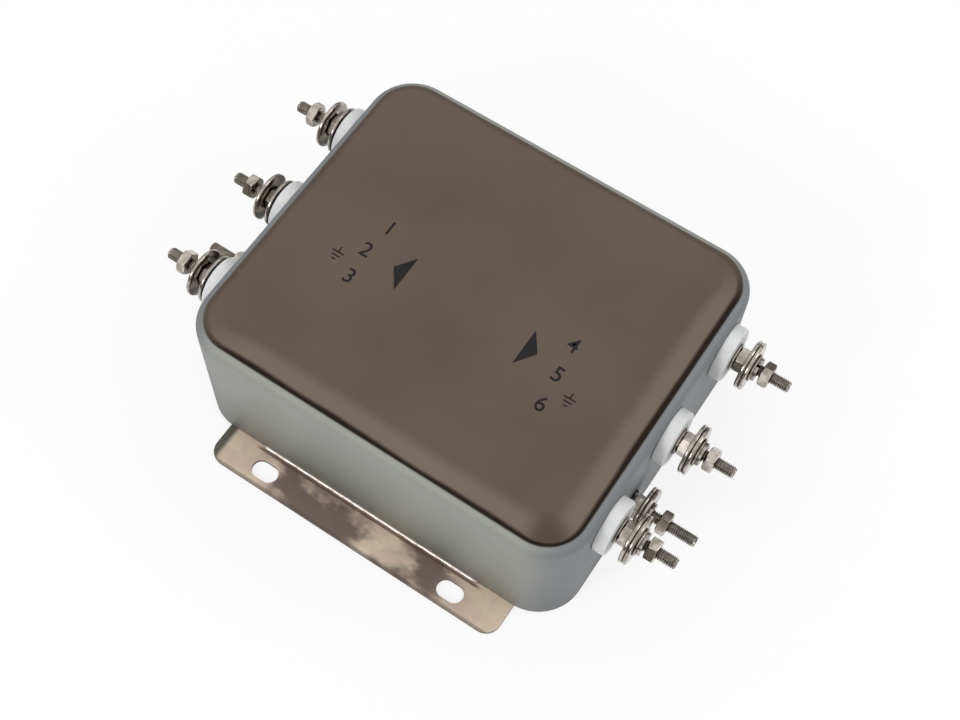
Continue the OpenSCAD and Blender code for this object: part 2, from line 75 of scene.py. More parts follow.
back = Vector((
    math.sin(CAMERA_AZIMUTH) * math.cos(CAMERA_ELEVATION),
    -math.cos(CAMERA_AZIMUTH) * math.cos(CAMERA_ELEVATION),
    math.sin(CAMERA_ELEVATION),
))
right = Vector((math.cos(CAMERA_AZIMUTH), math.sin(CAMERA_AZIMUTH), 0))
turned = Matrix((right, back.cross(right), back)).transposed()
camera_data = bpy.data.cameras.new("camera")
camera_data.lens = CAMERA_LENS
camera_data.clip_start = 0.01
camera = bpy.data.objects.new("camera", camera_data)
bpy.context.scene.collection.objects.link(camera)
camera.matrix_world = (
    Matrix.Translation(CAMERA_TARGET + back * CAMERA_DISTANCE)
    @ turned.to_4x4()
    @ Matrix.Rotation(CAMERA_ROLL, 4, "Z")
)
bpy.context.scene.camera = camera
bpy.context.scene.view_settings.view_transform = "Standard"

# ---- Floor and light ---------------------------------------------------------
# A white table in an even white tent. Bright metal is seen by what it mirrors, so the
# tent has a grey gap low down all round, higher at the front, which puts the dark lines
# on studs and nuts.

FLOOR_SIZE = 3.0
FLOOR_PLAIN_SHARE = 0.8         # what is left of the floor takes the object's shadow
TENT_ROOF = "#FFFEFC"
TENT_WALL = "#F6F8FA"
TENT_GAP = "#6A655F"
GAP_TOP = (0.12, 0.3)           # where the gap fades out and the roof fades in, as the
ROOF_FOOT = (0.5, 0.8)          # upward part of a direction
FRONT_RISE = 0.12               # how much higher the gap stands at the front


def linear(hex_colour):
    """An sRGB hex colour as linear RGBA."""
    channels = [int(hex_colour[i:i + 2], 16) / 255 for i in (1, 3, 5)]
    return [c / 12.92 if c <= 0.04045 else ((c + 0.055) / 1.055) ** 2.4 for c in channels] + [1]


def add_node(tree, kind, settings={}, inputs={}):
    """One node with its settings, and its inputs set to a value or linked to an output."""
    made = tree.nodes.new(kind)
    for name, value in settings.items():
        setattr(made, name, value)
    for name, value in inputs.items():
        if isinstance(value, bpy.types.NodeSocket):
            tree.links.new(value, made.inputs[name])
        else:
            made.inputs[name].default_value = value
    return made


def new_material(name):
    """An empty material and its node tree."""
    material = bpy.data.materials.new(name)
    material.use_nodes = True
    material.node_tree.nodes.clear()
    return material, material.node_tree


def new_piece(name, bm, material, slot, *replaced):
    """A mesh piece on the root body, which stands for the CAD nodes that it replaces."""
    mesh = bpy.data.meshes.new(name)
    bm.to_mesh(mesh)
    bm.free()
    piece = bpy.data.objects.new(name, mesh)
    bpy.context.scene.collection.objects.link(piece)
    mesh.materials.append(material)
    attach(piece, "root")
    if replaced:
        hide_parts(*replaced)
    return piece


floor_paint, tree = new_material("white_table")
ray = add_node(tree, "ShaderNodeLightPath").outputs
seen = add_node(tree, "ShaderNodeMath", {"operation": "MAXIMUM"},
                {0: ray["Is Camera Ray"], 1: ray["Is Glossy Ray"]})
seen = add_node(tree, "ShaderNodeMath", {"operation": "MAXIMUM"},
                {0: seen.outputs[0], 1: ray["Is Transmission Ray"]})
plain_share = add_node(tree, "ShaderNodeMath", {"operation": "MULTIPLY"},
                       {0: seen.outputs[0], 1: FLOOR_PLAIN_SHARE})
matt = add_node(tree, "ShaderNodeBsdfDiffuse", {}, {"Color": linear("#F4F4F4")})
plain = add_node(tree, "ShaderNodeEmission", {}, {"Color": linear("#FFFFFF"), "Strength": 1.0})
mixed = add_node(tree, "ShaderNodeMixShader", {},
                 {0: plain_share.outputs[0], 1: matt.outputs[0], 2: plain.outputs[0]})
add_node(tree, "ShaderNodeOutputMaterial", {}, {"Surface": mixed.outputs[0]})

bm = bmesh.new()
bmesh.ops.create_grid(bm, x_segments=1, y_segments=1, size=FLOOR_SIZE / 2)
bmesh.ops.translate(bm, verts=bm.verts, vec=(0, 0, cad_lo.z - 0.05 * MM))
mesh = bpy.data.meshes.new("floor")
bm.to_mesh(mesh)
bm.free()
floor = bpy.data.objects.new("floor", mesh)
bpy.context.scene.collection.objects.link(floor)
mesh.materials.append(floor_paint)

world = bpy.data.worlds.new("tent")
bpy.context.scene.world = world
world.use_nodes = True
tree = world.node_tree
tree.nodes.clear()
direction = add_node(tree, "ShaderNodeTexCoord").outputs["Generated"]
toward = add_node(tree, "ShaderNodeSeparateXYZ", {}, {0: direction}).outputs
height = toward["Z"]
front = add_node(tree, "ShaderNodeMath", {"operation": "MINIMUM"}, {0: toward["Y"], 1: 0})
above_front = add_node(tree, "ShaderNodeMath", {"operation": "MULTIPLY_ADD"},
                       {0: front.outputs[0], 1: FRONT_RISE, 2: height})
above_gap = add_node(tree, "ShaderNodeMapRange", {"interpolation_type": "SMOOTHSTEP"},
                     {"Value": above_front.outputs[0], "From Min": GAP_TOP[0],
                      "From Max": GAP_TOP[1]})
roof_share = add_node(tree, "ShaderNodeMapRange", {"interpolation_type": "SMOOTHSTEP"},
                      {"Value": height, "From Min": ROOF_FOOT[0], "From Max": ROOF_FOOT[1]})
tent = add_node(tree, "ShaderNodeMix", {"data_type": "RGBA"},
                {0: roof_share.outputs[0], 6: linear(TENT_WALL), 7: linear(TENT_ROOF)})
tent = add_node(tree, "ShaderNodeMix", {"data_type": "RGBA"},
                {0: above_gap.outputs[0], 6: linear(TENT_GAP), 7: tent.outputs[2]})
ray = add_node(tree, "ShaderNodeLightPath").outputs
tent = add_node(tree, "ShaderNodeMix", {"data_type": "RGBA"},
                {0: ray["Is Camera Ray"], 6: tent.outputs[2], 7: linear("#FFFFFF")})
sky = add_node(tree, "ShaderNodeBackground", {}, {"Color": tent.outputs[2], "Strength": 1.0})
add_node(tree, "ShaderNodeOutputWorld", {}, {"Surface": sky.outputs[0]})

for name, place, size, power in (
    ("key_light", (-0.25, -0.85, 0.62), 0.25, 3.0),
    ("fill_light", (0.9, 0.5, 0.6), 0.35, 2.0),
):
    lamp = bpy.data.lights.new(name, "AREA")
    lamp.size = size
    lamp.energy = power
    made = bpy.data.objects.new(name, lamp)
    bpy.context.scene.collection.objects.link(made)
    made.location = place
    made.rotation_mode = "QUATERNION"
    made.rotation_quaternion = (-Vector(place)).to_track_quat("-Z", "Y")

# ---- Can ---------------------------------------------------------------------
# One deep-drawn sheet of tin-plated steel, open at the bottom, with wide upright
# corners and a tight rolled top edge. The draw leaves the roof slightly crowned.

CAN_SHEET = 1 * MM
CAN_CORNER = 15 * MM
CAN_EDGE = 3.5 * MM
INK_ROOM = 0.06 * MM            # the roof lies this far under the frame's top, for the ink
CROWN = ((2, 0.14), (2, 0.08), (2, 0.04), (2, 0.01), (2, 0))    # ring width and rise, in mm
# The roof's tone, its painted dark reflection and its painted sheen band change with the distance
# in from the wall: each pair is where a change starts and where it is complete.
ROOF_START = (2.2 * MM, 2.9 * MM)
DARK_REFLECTION_END = (3.5 * MM, 4.9 * MM)
SHEEN_BAND_END = (7.5 * MM, 12 * MM)
# Where a painted dark reflection spot lies on the roof, by the corner of the front and the load
# end, and where it fades.
CORNER_REFLECTION_PLACE = (58 * MM, -51 * MM, 0)
CORNER_REFLECTION_FADE = (2 * MM, 9 * MM)

lo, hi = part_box("case")
wall_x = hi.x
wall_y = hi.y
roof_z = hi.z - INK_ROOM
crown_rise = sum(rise for width, rise in CROWN) * MM
edge_z = roof_z - crown_rise    # where the roof meets the rolled edge

bm = bmesh.new()
bmesh.ops.create_cube(bm, size=1)
bmesh.ops.scale(bm, verts=bm.verts, vec=(2 * wall_x, 2 * wall_y, edge_z - lo.z))
bmesh.ops.translate(bm, verts=bm.verts, vec=(0, 0, (edge_z + lo.z) / 2))
bmesh.ops.bevel(bm, geom=[e for e in bm.edges if abs(e.verts[0].co.z - e.verts[1].co.z) > MM],
                offset=CAN_CORNER, offset_type="OFFSET", segments=20, profile=0.5,
                affect="EDGES", material=-1)
rim = [e for e in bm.edges if all(v.co.z > edge_z - 0.01 * MM for v in e.verts)]
bmesh.ops.bevel(bm, geom=rim, offset=CAN_EDGE, offset_type="OFFSET", segments=12, profile=0.5,
                affect="EDGES", material=-1)
roof = max(bm.faces, key=lambda f: f.calc_center_median().z)
for width, rise in CROWN:
    bmesh.ops.inset_region(bm, faces=[roof], thickness=width * MM, use_even_offset=True)
    bmesh.ops.translate(bm, verts=roof.verts, vec=(0, 0, rise * MM))
bottom = min(bm.faces, key=lambda f: f.calc_center_median().z)
bmesh.ops.delete(bm, geom=[bottom], context="FACES_ONLY")
for f in bm.faces:
    f.smooth = True

tin, tree = new_material("drawn_tin_plate")
# Tin plate that the die has drawn: the flat roof mirrors softly and the stretched walls are
# nearly matt. The roof's warm brown-grey and the walls' pale grey-green are painted reflections
# on the one plate. Along the front and the load end a painted dark reflection lies on the edge,
# with a paler painted sheen band inside it.
place = add_node(tree, "ShaderNodeTexCoord").outputs["Object"]
xyz = add_node(tree, "ShaderNodeSeparateXYZ", {}, {0: place}).outputs
clouds = add_node(tree, "ShaderNodeTexNoise", {}, {"Vector": place, "Scale": 24, "Detail": 4})
grain = add_node(tree, "ShaderNodeTexNoise", {}, {"Vector": place, "Scale": 420, "Detail": 2})
flat_place = add_node(tree, "ShaderNodeVectorMath", {"operation": "MULTIPLY"},
                      {0: place, 1: (1, 1, 0)}).outputs[0]
apart = add_node(tree, "ShaderNodeVectorMath", {"operation": "ABSOLUTE"}, {0: flat_place})
apart = add_node(tree, "ShaderNodeVectorMath", {"operation": "SUBTRACT"},
                 {0: apart.outputs[0], 1: (wall_x - CAN_CORNER, wall_y - CAN_CORNER, 0)})
past_corner = add_node(tree, "ShaderNodeVectorMath", {"operation": "MAXIMUM"},
                       {0: apart.outputs[0], 1: (0, 0, 0)})
past_corner = add_node(tree, "ShaderNodeVectorMath", {"operation": "LENGTH"},
                       {0: past_corner.outputs[0]}).outputs["Value"]
sides = add_node(tree, "ShaderNodeSeparateXYZ", {}, {0: apart.outputs[0]}).outputs
before_corner = add_node(tree, "ShaderNodeMath", {"operation": "MAXIMUM"},
                         {0: sides["X"], 1: sides["Y"]})
before_corner = add_node(tree, "ShaderNodeMath", {"operation": "MINIMUM"},
                         {0: before_corner.outputs[0], 1: 0})
past_both = add_node(tree, "ShaderNodeMath", {"operation": "ADD"},
                     {0: past_corner, 1: before_corner.outputs[0]})
inboard = add_node(tree, "ShaderNodeMath", {"operation": "SUBTRACT"},
                   {0: CAN_CORNER, 1: past_both.outputs[0]}).outputs[0]
near_x = add_node(tree, "ShaderNodeMath", {"operation": "DIVIDE"}, {0: xyz["X"], 1: wall_x})
near_y = add_node(tree, "ShaderNodeMath", {"operation": "DIVIDE"}, {0: xyz["Y"], 1: wall_y})
# The painted dark reflection and sheen band are strongest along the front and the load end.
front_load_side = add_node(tree, "ShaderNodeMath", {"operation": "SUBTRACT"},
                    {0: near_x.outputs[0], 1: near_y.outputs[0]})
front_load_side = add_node(tree, "ShaderNodeMapRange", {"interpolation_type": "SMOOTHSTEP"},
                    {"Value": front_load_side.outputs[0], "From Min": -0.1, "From Max": 0.25}).outputs[0]
wavy = add_node(tree, "ShaderNodeMapRange", {},
                {"Value": clouds.outputs["Fac"], "From Min": 0.3, "From Max": 0.7,
                 "To Min": -0.5 * MM, "To Max": 0.5 * MM})
wavy = add_node(tree, "ShaderNodeMath", {"operation": "ADD"}, {0: inboard, 1: wavy.outputs[0]})
on_roof = add_node(tree, "ShaderNodeMapRange", {"interpolation_type": "SMOOTHSTEP"},
                   {"Value": inboard, "From Min": ROOF_START[0], "From Max": ROOF_START[1]})
# Painted dark reflection along the roof's rolled edge.
past_dark_reflection = add_node(tree, "ShaderNodeMapRange", {"interpolation_type": "SMOOTHSTEP"},
                   {"Value": wavy.outputs[0], "From Min": DARK_REFLECTION_END[0],
                    "From Max": DARK_REFLECTION_END[1]})
dark_reflection = add_node(tree, "ShaderNodeMath", {"operation": "SUBTRACT"}, {0: 1, 1: past_dark_reflection.outputs[0]})
dark_reflection_share = add_node(tree, "ShaderNodeMapRange", {},
                       {"Value": front_load_side, "To Min": 0.25, "To Max": 0.95})
dark_reflection = add_node(tree, "ShaderNodeMath", {"operation": "MULTIPLY"},
                 {0: dark_reflection.outputs[0], 1: dark_reflection_share.outputs[0]})
# A painted dark reflection spot by the corner of the front and the load end.
corner_dark_reflection = add_node(tree, "ShaderNodeVectorMath", {"operation": "DISTANCE"},
                  {0: flat_place, 1: CORNER_REFLECTION_PLACE})
corner_dark_reflection = add_node(tree, "ShaderNodeMapRange", {"interpolation_type": "SMOOTHSTEP"},
                  {"Value": corner_dark_reflection.outputs["Value"], "From Min": CORNER_REFLECTION_FADE[0],
                   "From Max": CORNER_REFLECTION_FADE[1], "To Min": 0.55, "To Max": 0})
dark_reflection = add_node(tree, "ShaderNodeMath", {"operation": "MAXIMUM"},
                 {0: dark_reflection.outputs[0], 1: corner_dark_reflection.outputs[0]})
# A paler painted sheen band just inboard of the painted dark reflection.
past_sheen_band = add_node(tree, "ShaderNodeMapRange", {"interpolation_type": "SMOOTHSTEP"},
                     {"Value": wavy.outputs[0], "From Min": SHEEN_BAND_END[0],
                      "From Max": SHEEN_BAND_END[1]})
band = add_node(tree, "ShaderNodeMath", {"operation": "SUBTRACT"},
                {0: front_load_side, 1: past_sheen_band.outputs[0]})
middle = add_node(tree, "ShaderNodeMix", {"data_type": "RGBA"},
                  {0: clouds.outputs["Fac"], 6: linear("#594F46"), 7: linear("#706458")})
# The painted sheen band's paler tone.
border = add_node(tree, "ShaderNodeMix", {"data_type": "RGBA"},
                  {0: clouds.outputs["Fac"], 6: linear("#71665A"), 7: linear("#7B7065")})
roof_colour = add_node(tree, "ShaderNodeMix", {"data_type": "RGBA"},
                       {0: band.outputs[0], 6: middle.outputs[2], 7: border.outputs[2]})
roof_colour = add_node(tree, "ShaderNodeMix", {"data_type": "RGBA"},
                       {0: dark_reflection.outputs[0], 6: roof_colour.outputs[2], 7: linear("#1E1712")})
walls = add_node(tree, "ShaderNodeMix", {"data_type": "RGBA"},
                 {0: clouds.outputs["Fac"], 6: linear("#888A84"), 7: linear("#93958F")})
# Painted shade: the end walls are a darker, bluer grey than the long walls.
end_wall_shade = add_node(tree, "ShaderNodeMath", {"operation": "ABSOLUTE"}, {0: xyz["X"]})
end_wall_shade = add_node(tree, "ShaderNodeMapRange", {"interpolation_type": "SMOOTHSTEP"},
                     {"Value": end_wall_shade.outputs[0], "From Min": wall_x - 16 * MM,
                      "From Max": wall_x - 2 * MM})
walls = add_node(tree, "ShaderNodeMix", {"data_type": "RGBA"},
                 {0: end_wall_shade.outputs[0], 6: walls.outputs[2], 7: linear("#777A7D")})
# Painted reflections on one tin plate: brown-grey on the roof, grey-green on the walls.
colour = add_node(tree, "ShaderNodeMix", {"data_type": "RGBA"},
                  {0: on_roof.outputs[0], 6: walls.outputs[2], 7: roof_colour.outputs[2]})
shine = add_node(tree, "ShaderNodeMapRange", {},
                 {"Value": on_roof.outputs[0], "To Min": 0.6, "To Max": 0.32})
metal_share = add_node(tree, "ShaderNodeMapRange", {},
                       {"Value": on_roof.outputs[0], "To Min": 0.2, "To Max": 0.95})
skin = add_node(tree, "ShaderNodeBump", {},
                {"Height": grain.outputs["Fac"], "Strength": 0.06, "Distance": 0.0004})
metal = add_node(tree, "ShaderNodeBsdfPrincipled", {},
                 {"Base Color": colour.outputs[2], "Metallic": metal_share.outputs[0],
                  "Roughness": shine.outputs[0], "Normal": skin.outputs[0]})
add_node(tree, "ShaderNodeOutputMaterial", {}, {"Surface": metal.outputs[0]})

can = new_piece("drawn_can", bm, tin, "case_steel", "case")
sheet = can.modifiers.new("sheet", "SOLIDIFY")
sheet.thickness = CAN_SHEET
sheet.offset = -1

# ---- Printed marks -----------------------------------------------------------
# Dark ink stamped on the roof with a rubber pad: a number beside each terminal, an earth
# sign beside each ground stud, and a solid arrow head to the line end and the load end.

INK_DEEP = 0.02 * MM            # the print starts this far under the roof's face
INK_THICK = 0.05 * MM
MARK_HEIGHT = 5 * MM
TYPE_SIZE = 1.42 * MARK_HEIGHT  # a digit stands 1 / 1.42 of its type's size
TYPE_BOLD = 0.05 * MM           # how far the ink spreads past the outline
NUMBER_PLACES = (
    ("1", -34.8, 5.5), ("2", -36.5, -4.6), ("3", -35.5, -14.8),
    ("4", 32.2, 3.0), ("5", 33.4, -7.6), ("6", 34.4, -18.2),
)
EARTH_PLACES = ((-43.0, -10.2), (40.4, -12.4))
ARROW_PLACES = ((-26.4, -4.6, -1), (25.0, -5.2, 1))      # the tip, and the way it points
ARROW_LONG = 4.6 * MM
ARROW_WIDE = 13 * MM
EARTH_BARS = ((0.4, 4.2), (-0.9, 2.8), (-2.2, 1.4))      # place and length of each bar, in mm

ink, tree = new_material("stamping_ink")
# Dried pad ink: nearly black with a cool cast, matt, thinner where the pad lifted.
place = add_node(tree, "ShaderNodeTexCoord").outputs["Object"]
thin = add_node(tree, "ShaderNodeTexNoise", {}, {"Vector": place, "Scale": 900, "Detail": 2})
patchy = add_node(tree, "ShaderNodeMapRange", {},
                  {"Value": thin.outputs["Fac"], "From Min": 0.45, "From Max": 0.75})
colour = add_node(tree, "ShaderNodeMix", {"data_type": "RGBA"},
                  {0: patchy.outputs[0], 6: linear("#0B0A10"), 7: linear("#1C1817")})
film = add_node(tree, "ShaderNodeBsdfPrincipled", {},
                {"Base Color": colour.outputs[2], "Roughness": 0.9})
add_node(tree, "ShaderNodeOutputMaterial", {}, {"Surface": film.outputs[0]})


def stamp(name, bm):
    """Ink of even thickness from flat faces that lie on Z = 0."""
    made = bmesh.ops.extrude_face_region(bm, geom=bm.faces[:])
    raised = [v for v in made["geom"] if isinstance(v, bmesh.types.BMVert)]
    bmesh.ops.translate(bm, verts=raised, vec=(0, 0, INK_THICK))
    bmesh.ops.recalc_face_normals(bm, faces=bm.faces)
    bmesh.ops.translate(bm, verts=bm.verts, vec=(0, 0, roof_z - INK_DEEP))
    new_piece(name, bm, ink, "black_pvc")


bm = bmesh.new()
for words, x, y in NUMBER_PLACES:
    curve = bpy.data.curves.new("number", "FONT")
    curve.body = words
    curve.size = TYPE_SIZE
    curve.align_x = "CENTER"
    curve.align_y = "CENTER"
    curve.offset = TYPE_BOLD
    letters = bpy.data.objects.new("number", curve)
    mesh = bpy.data.meshes.new_from_object(letters)
    mesh.transform(Matrix.Translation((x * MM, y * MM, 0)))
    bm.from_mesh(mesh)
    bpy.data.objects.remove(letters)
bmesh.ops.remove_doubles(bm, verts=bm.verts, dist=0.001 * MM)
stamp("terminal_numbers", bm)

bm = bmesh.new()
for x, y, way in ARROW_PLACES:
    corners = [bm.verts.new((x * MM, y * MM, 0)),
               bm.verts.new((x * MM - way * ARROW_LONG, y * MM + ARROW_WIDE / 2, 0)),
               bm.verts.new((x * MM - way * ARROW_LONG, y * MM - ARROW_WIDE / 2, 0))]
    bm.faces.new(corners)
stamp("line_and_load_arrows", bm)

bm = bmesh.new()
for x, y in EARTH_PLACES:
    for along, length in EARTH_BARS + ((1.4, 0.5),):
        high = 2 * MM if along == 1.4 else 0.5 * MM
        bmesh.ops.create_grid(
            bm, x_segments=1, y_segments=1, size=0.5,
            matrix=Matrix.Translation((x * MM, y * MM + along * MM, 0))
            @ Matrix.Diagonal((length * MM, high, 1, 1)))
stamp("earth_signs", bm)

# ---- Base plate --------------------------------------------------------------
# One blanked sheet of tin-plated steel that closes the can, with a slotted flange along each long
# side. The flanges carry painted reflections as brown-grey clouds.

lo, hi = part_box("base_plate")
plate_top = hi.z
flange_edge = hi.y
REFLECTION_CLOUDS_FADE = (28 * MM, 43 * MM)    # the painted reflection clouds fade out between these distances from the middle
FLUX_AND_SHADOW_ENDS = (40 * MM, 43 * MM)     # and so do the flux stain and painted shadow along the seam
DARK_TIP = (-50 * MM, -48.2 * MM)
FLUX_AND_SHADOW_OUT = 1.3 * MM             # middle of the flux stain and painted shadow line, out from the wall
RIM = (1.3 * MM, 0.4 * MM)      # the painted shade along the rim starts and is full this far from the edge

flange_tin, tree = new_material("flange_tin_painted_light")
# Dull tin: pale beige with pink and straw tints, painted brown-grey reflection clouds between the
# slots, a dark green-grey tip at the line end, a line of flux stain and painted shadow beside
# each seam, and painted shade on the rim and the cut edge.
place = add_node(tree, "ShaderNodeTexCoord").outputs["Object"]
xyz = add_node(tree, "ShaderNodeSeparateXYZ", {}, {0: place}).outputs
tints = add_node(tree, "ShaderNodeTexNoise", {}, {"Vector": place, "Scale": 130, "Detail": 3})
tint_share = add_node(tree, "ShaderNodeMapRange", {"interpolation_type": "SMOOTHSTEP"},
                      {"Value": tints.outputs["Fac"], "From Min": 0.38, "From Max": 0.62})
bare = add_node(tree, "ShaderNodeMix", {"data_type": "RGBA"},
                {0: tint_share.outputs[0], 6: linear("#E0CEB6"), 7: linear("#D6BFAE")})
stretched = add_node(tree, "ShaderNodeMapping", {}, {"Vector": place, "Scale": (0.6, 1, 1)})
clouds = add_node(tree, "ShaderNodeTexNoise", {},
                  {"Vector": stretched.outputs[0], "Scale": 80, "Detail": 4,
                   "Roughness": 0.55})
# Painted reflection: brown-grey clouds between the slots.
reflection_cloud_share = add_node(tree, "ShaderNodeMapRange", {"interpolation_type": "SMOOTHSTEP"},
                       {"Value": clouds.outputs["Fac"], "From Min": 0.38, "From Max": 0.56})
from_middle = add_node(tree, "ShaderNodeMath", {"operation": "ABSOLUTE"}, {0: xyz["X"]})
between_slots = add_node(tree, "ShaderNodeMapRange", {"interpolation_type": "SMOOTHSTEP"},
                         {"Value": from_middle.outputs[0], "From Min": REFLECTION_CLOUDS_FADE[0],
                          "From Max": REFLECTION_CLOUDS_FADE[1], "To Min": 1, "To Max": 0.12})
reflection_cloud_share = add_node(tree, "ShaderNodeMath", {"operation": "MULTIPLY"},
                       {0: reflection_cloud_share.outputs[0], 1: between_slots.outputs[0]})
colour = add_node(tree, "ShaderNodeMix", {"data_type": "RGBA"},
                  {0: reflection_cloud_share.outputs[0], 6: bare.outputs[2], 7: linear("#74675D")})
wander = add_node(tree, "ShaderNodeMath", {"operation": "MULTIPLY_ADD"},
                  {0: clouds.outputs["Fac"], 1: 3 * MM, 2: xyz["X"]})
# Darker green-grey toward the line end's tip.
dark_tip = add_node(tree, "ShaderNodeMapRange", {"interpolation_type": "SMOOTHSTEP"},
                   {"Value": wander.outputs[0], "From Min": DARK_TIP[0],
                    "From Max": DARK_TIP[1], "To Min": 1, "To Max": 0})
colour = add_node(tree, "ShaderNodeMix", {"data_type": "RGBA"},
                  {0: dark_tip.outputs[0], 6: colour.outputs[2], 7: linear("#5B584C")})
off_axis = add_node(tree, "ShaderNodeMath", {"operation": "ABSOLUTE"}, {0: xyz["Y"]})
# A line of flux stain and painted shadow beside each seam.
flux_and_shadow_place = add_node(tree, "ShaderNodeMath", {"operation": "SUBTRACT"},
                      {0: off_axis.outputs[0], 1: wall_y + FLUX_AND_SHADOW_OUT})
flux_and_shadow_place = add_node(tree, "ShaderNodeMath", {"operation": "ABSOLUTE"},
                      {0: flux_and_shadow_place.outputs[0]})
flux_and_shadow_share = add_node(tree, "ShaderNodeMapRange", {"interpolation_type": "SMOOTHSTEP"},
                      {"Value": flux_and_shadow_place.outputs[0], "From Min": 0.2 * MM,
                       "From Max": 0.7 * MM, "To Min": 0.85, "To Max": 0})
in_seam = add_node(tree, "ShaderNodeMapRange", {"interpolation_type": "SMOOTHSTEP"},
                   {"Value": from_middle.outputs[0], "From Min": FLUX_AND_SHADOW_ENDS[0],
                    "From Max": FLUX_AND_SHADOW_ENDS[1], "To Min": 1, "To Max": 0})
flux_and_shadow_share = add_node(tree, "ShaderNodeMath", {"operation": "MULTIPLY"},
                      {0: flux_and_shadow_share.outputs[0], 1: in_seam.outputs[0]})
colour = add_node(tree, "ShaderNodeMix", {"data_type": "RGBA"},
                  {0: flux_and_shadow_share.outputs[0], 6: colour.outputs[2], 7: linear("#5A4339")})
# Painted shade along the flange's rim.
rim_shade_share = add_node(tree, "ShaderNodeMapRange", {"interpolation_type": "SMOOTHSTEP"},
                     {"Value": off_axis.outputs[0], "From Min": flange_edge - RIM[0],
                      "From Max": flange_edge - RIM[1], "To Max": 0.6})
colour = add_node(tree, "ShaderNodeMix", {"data_type": "RGBA"},
                  {0: rim_shade_share.outputs[0], 6: colour.outputs[2], 7: linear("#5A4F48")})
# Painted shade on the sheet's cut edge.
depth = add_node(tree, "ShaderNodeMath", {"operation": "SUBTRACT"},
                 {0: xyz["Z"], 1: plate_top / 2})
depth = add_node(tree, "ShaderNodeMath", {"operation": "ABSOLUTE"}, {0: depth.outputs[0]})
cut_edge_shade = add_node(tree, "ShaderNodeMapRange", {},
                    {"Value": depth.outputs[0], "From Min": plate_top / 2 - 0.12 * MM,
                     "From Max": plate_top / 2 - 0.02 * MM, "To Min": 1, "To Max": 0})
colour = add_node(tree, "ShaderNodeMix", {"data_type": "RGBA"},
                  {0: cut_edge_shade.outputs[0], 6: colour.outputs[2], 7: linear("#453E38")})
rough = add_node(tree, "ShaderNodeMapRange", {},
                 {"Value": clouds.outputs["Fac"], "To Min": 0.38, "To Max": 0.6})
skin = add_node(tree, "ShaderNodeBump", {},
                {"Height": clouds.outputs["Fac"], "Strength": 0.15, "Distance": 0.0005})
metal = add_node(tree, "ShaderNodeBsdfPrincipled", {},
                 {"Base Color": colour.outputs[2], "Metallic": 0.3,
                  "Roughness": rough.outputs[0], "Normal": skin.outputs[0]})
add_node(tree, "ShaderNodeOutputMaterial", {}, {"Surface": metal.outputs[0]})


def dress(node, material):
    """A CAD node keeps its mesh and takes a material."""
    nodes[node].data.materials.clear()
    nodes[node].data.materials.append(material)


dress("base_plate", flange_tin)

# ---- Solder seams ------------------------------------------------------------
# A bead of soft solder run along the foot of each long wall with an iron, which joins
# the can to the base plate. It swells and thins a little as the iron moved.

BEAD_RINGS = 90

lo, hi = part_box("solder_seams")
bead_r = hi.y - wall_y

solder, tree = new_material("soft_solder")
# Tin-lead solder as it froze: pale grey with a pink cast from the flux, satin, rippled.
place = add_node(tree, "ShaderNodeTexCoord").outputs["Object"]
ripples = add_node(tree, "ShaderNodeTexNoise", {}, {"Vector": place, "Scale": 700, "Detail": 3})
colour = add_node(tree, "ShaderNodeMix", {"data_type": "RGBA"},
                  {0: ripples.outputs["Fac"], 6: linear("#A79C93"), 7: linear("#D6CCC4")})
frozen = add_node(tree, "ShaderNodeBump", {},
                  {"Height": ripples.outputs["Fac"], "Strength": 0.3, "Distance": 0.0003})
metal = add_node(tree, "ShaderNodeBsdfPrincipled", {},
                 {"Base Color": colour.outputs[2], "Metallic": 0.9, "Roughness": 0.35,
                  "Normal": frozen.outputs[0]})
add_node(tree, "ShaderNodeOutputMaterial", {}, {"Surface": metal.outputs[0]})

bm = bmesh.new()
for side in (-1, 1):
    before = len(bm.verts)
    bmesh.ops.create_cone(bm, cap_ends=True, segments=14, radius1=bead_r, radius2=bead_r,
                          depth=hi.x - lo.x)
    bmesh.ops.subdivide_edges(bm, edges=[e for e in bm.edges
                                         if len(e.link_faces) == 2
                                         and 10 * MM < e.calc_length()], cuts=BEAD_RINGS)
    bm.verts.ensure_lookup_table()
    made = bm.verts[before:]
    for v in made:
        swell = (0.86 + 0.08 * math.sin(v.co.z / MM * 0.9 + side)
                 + 0.06 * math.sin(v.co.z / MM * 2.3))
        ends = min(1, (hi.x - abs(v.co.z)) / (2 * MM) + 0.3)
        v.co.x *= swell * ends
        v.co.y *= swell * ends
    bmesh.ops.transform(bm, verts=made, matrix=(
        Matrix.Translation((0, side * wall_y, plate_top)) @ Matrix.Rotation(math.pi / 2, 4, "Y")))
for f in bm.faces:
    f.smooth = True
new_piece("solder_beads", bm, solder, "solder", "solder_seams")

# ---- Insulating bushes -------------------------------------------------------
# Six turned bushes of white nylon. Each flange lies on the end wall, and its neck
# carries the stud through the hole.

BUSH_EDGE = 0.9 * MM
BORE_CHAMFER = 0.2 * MM

milky_nylon, tree = new_material("milky_nylon")
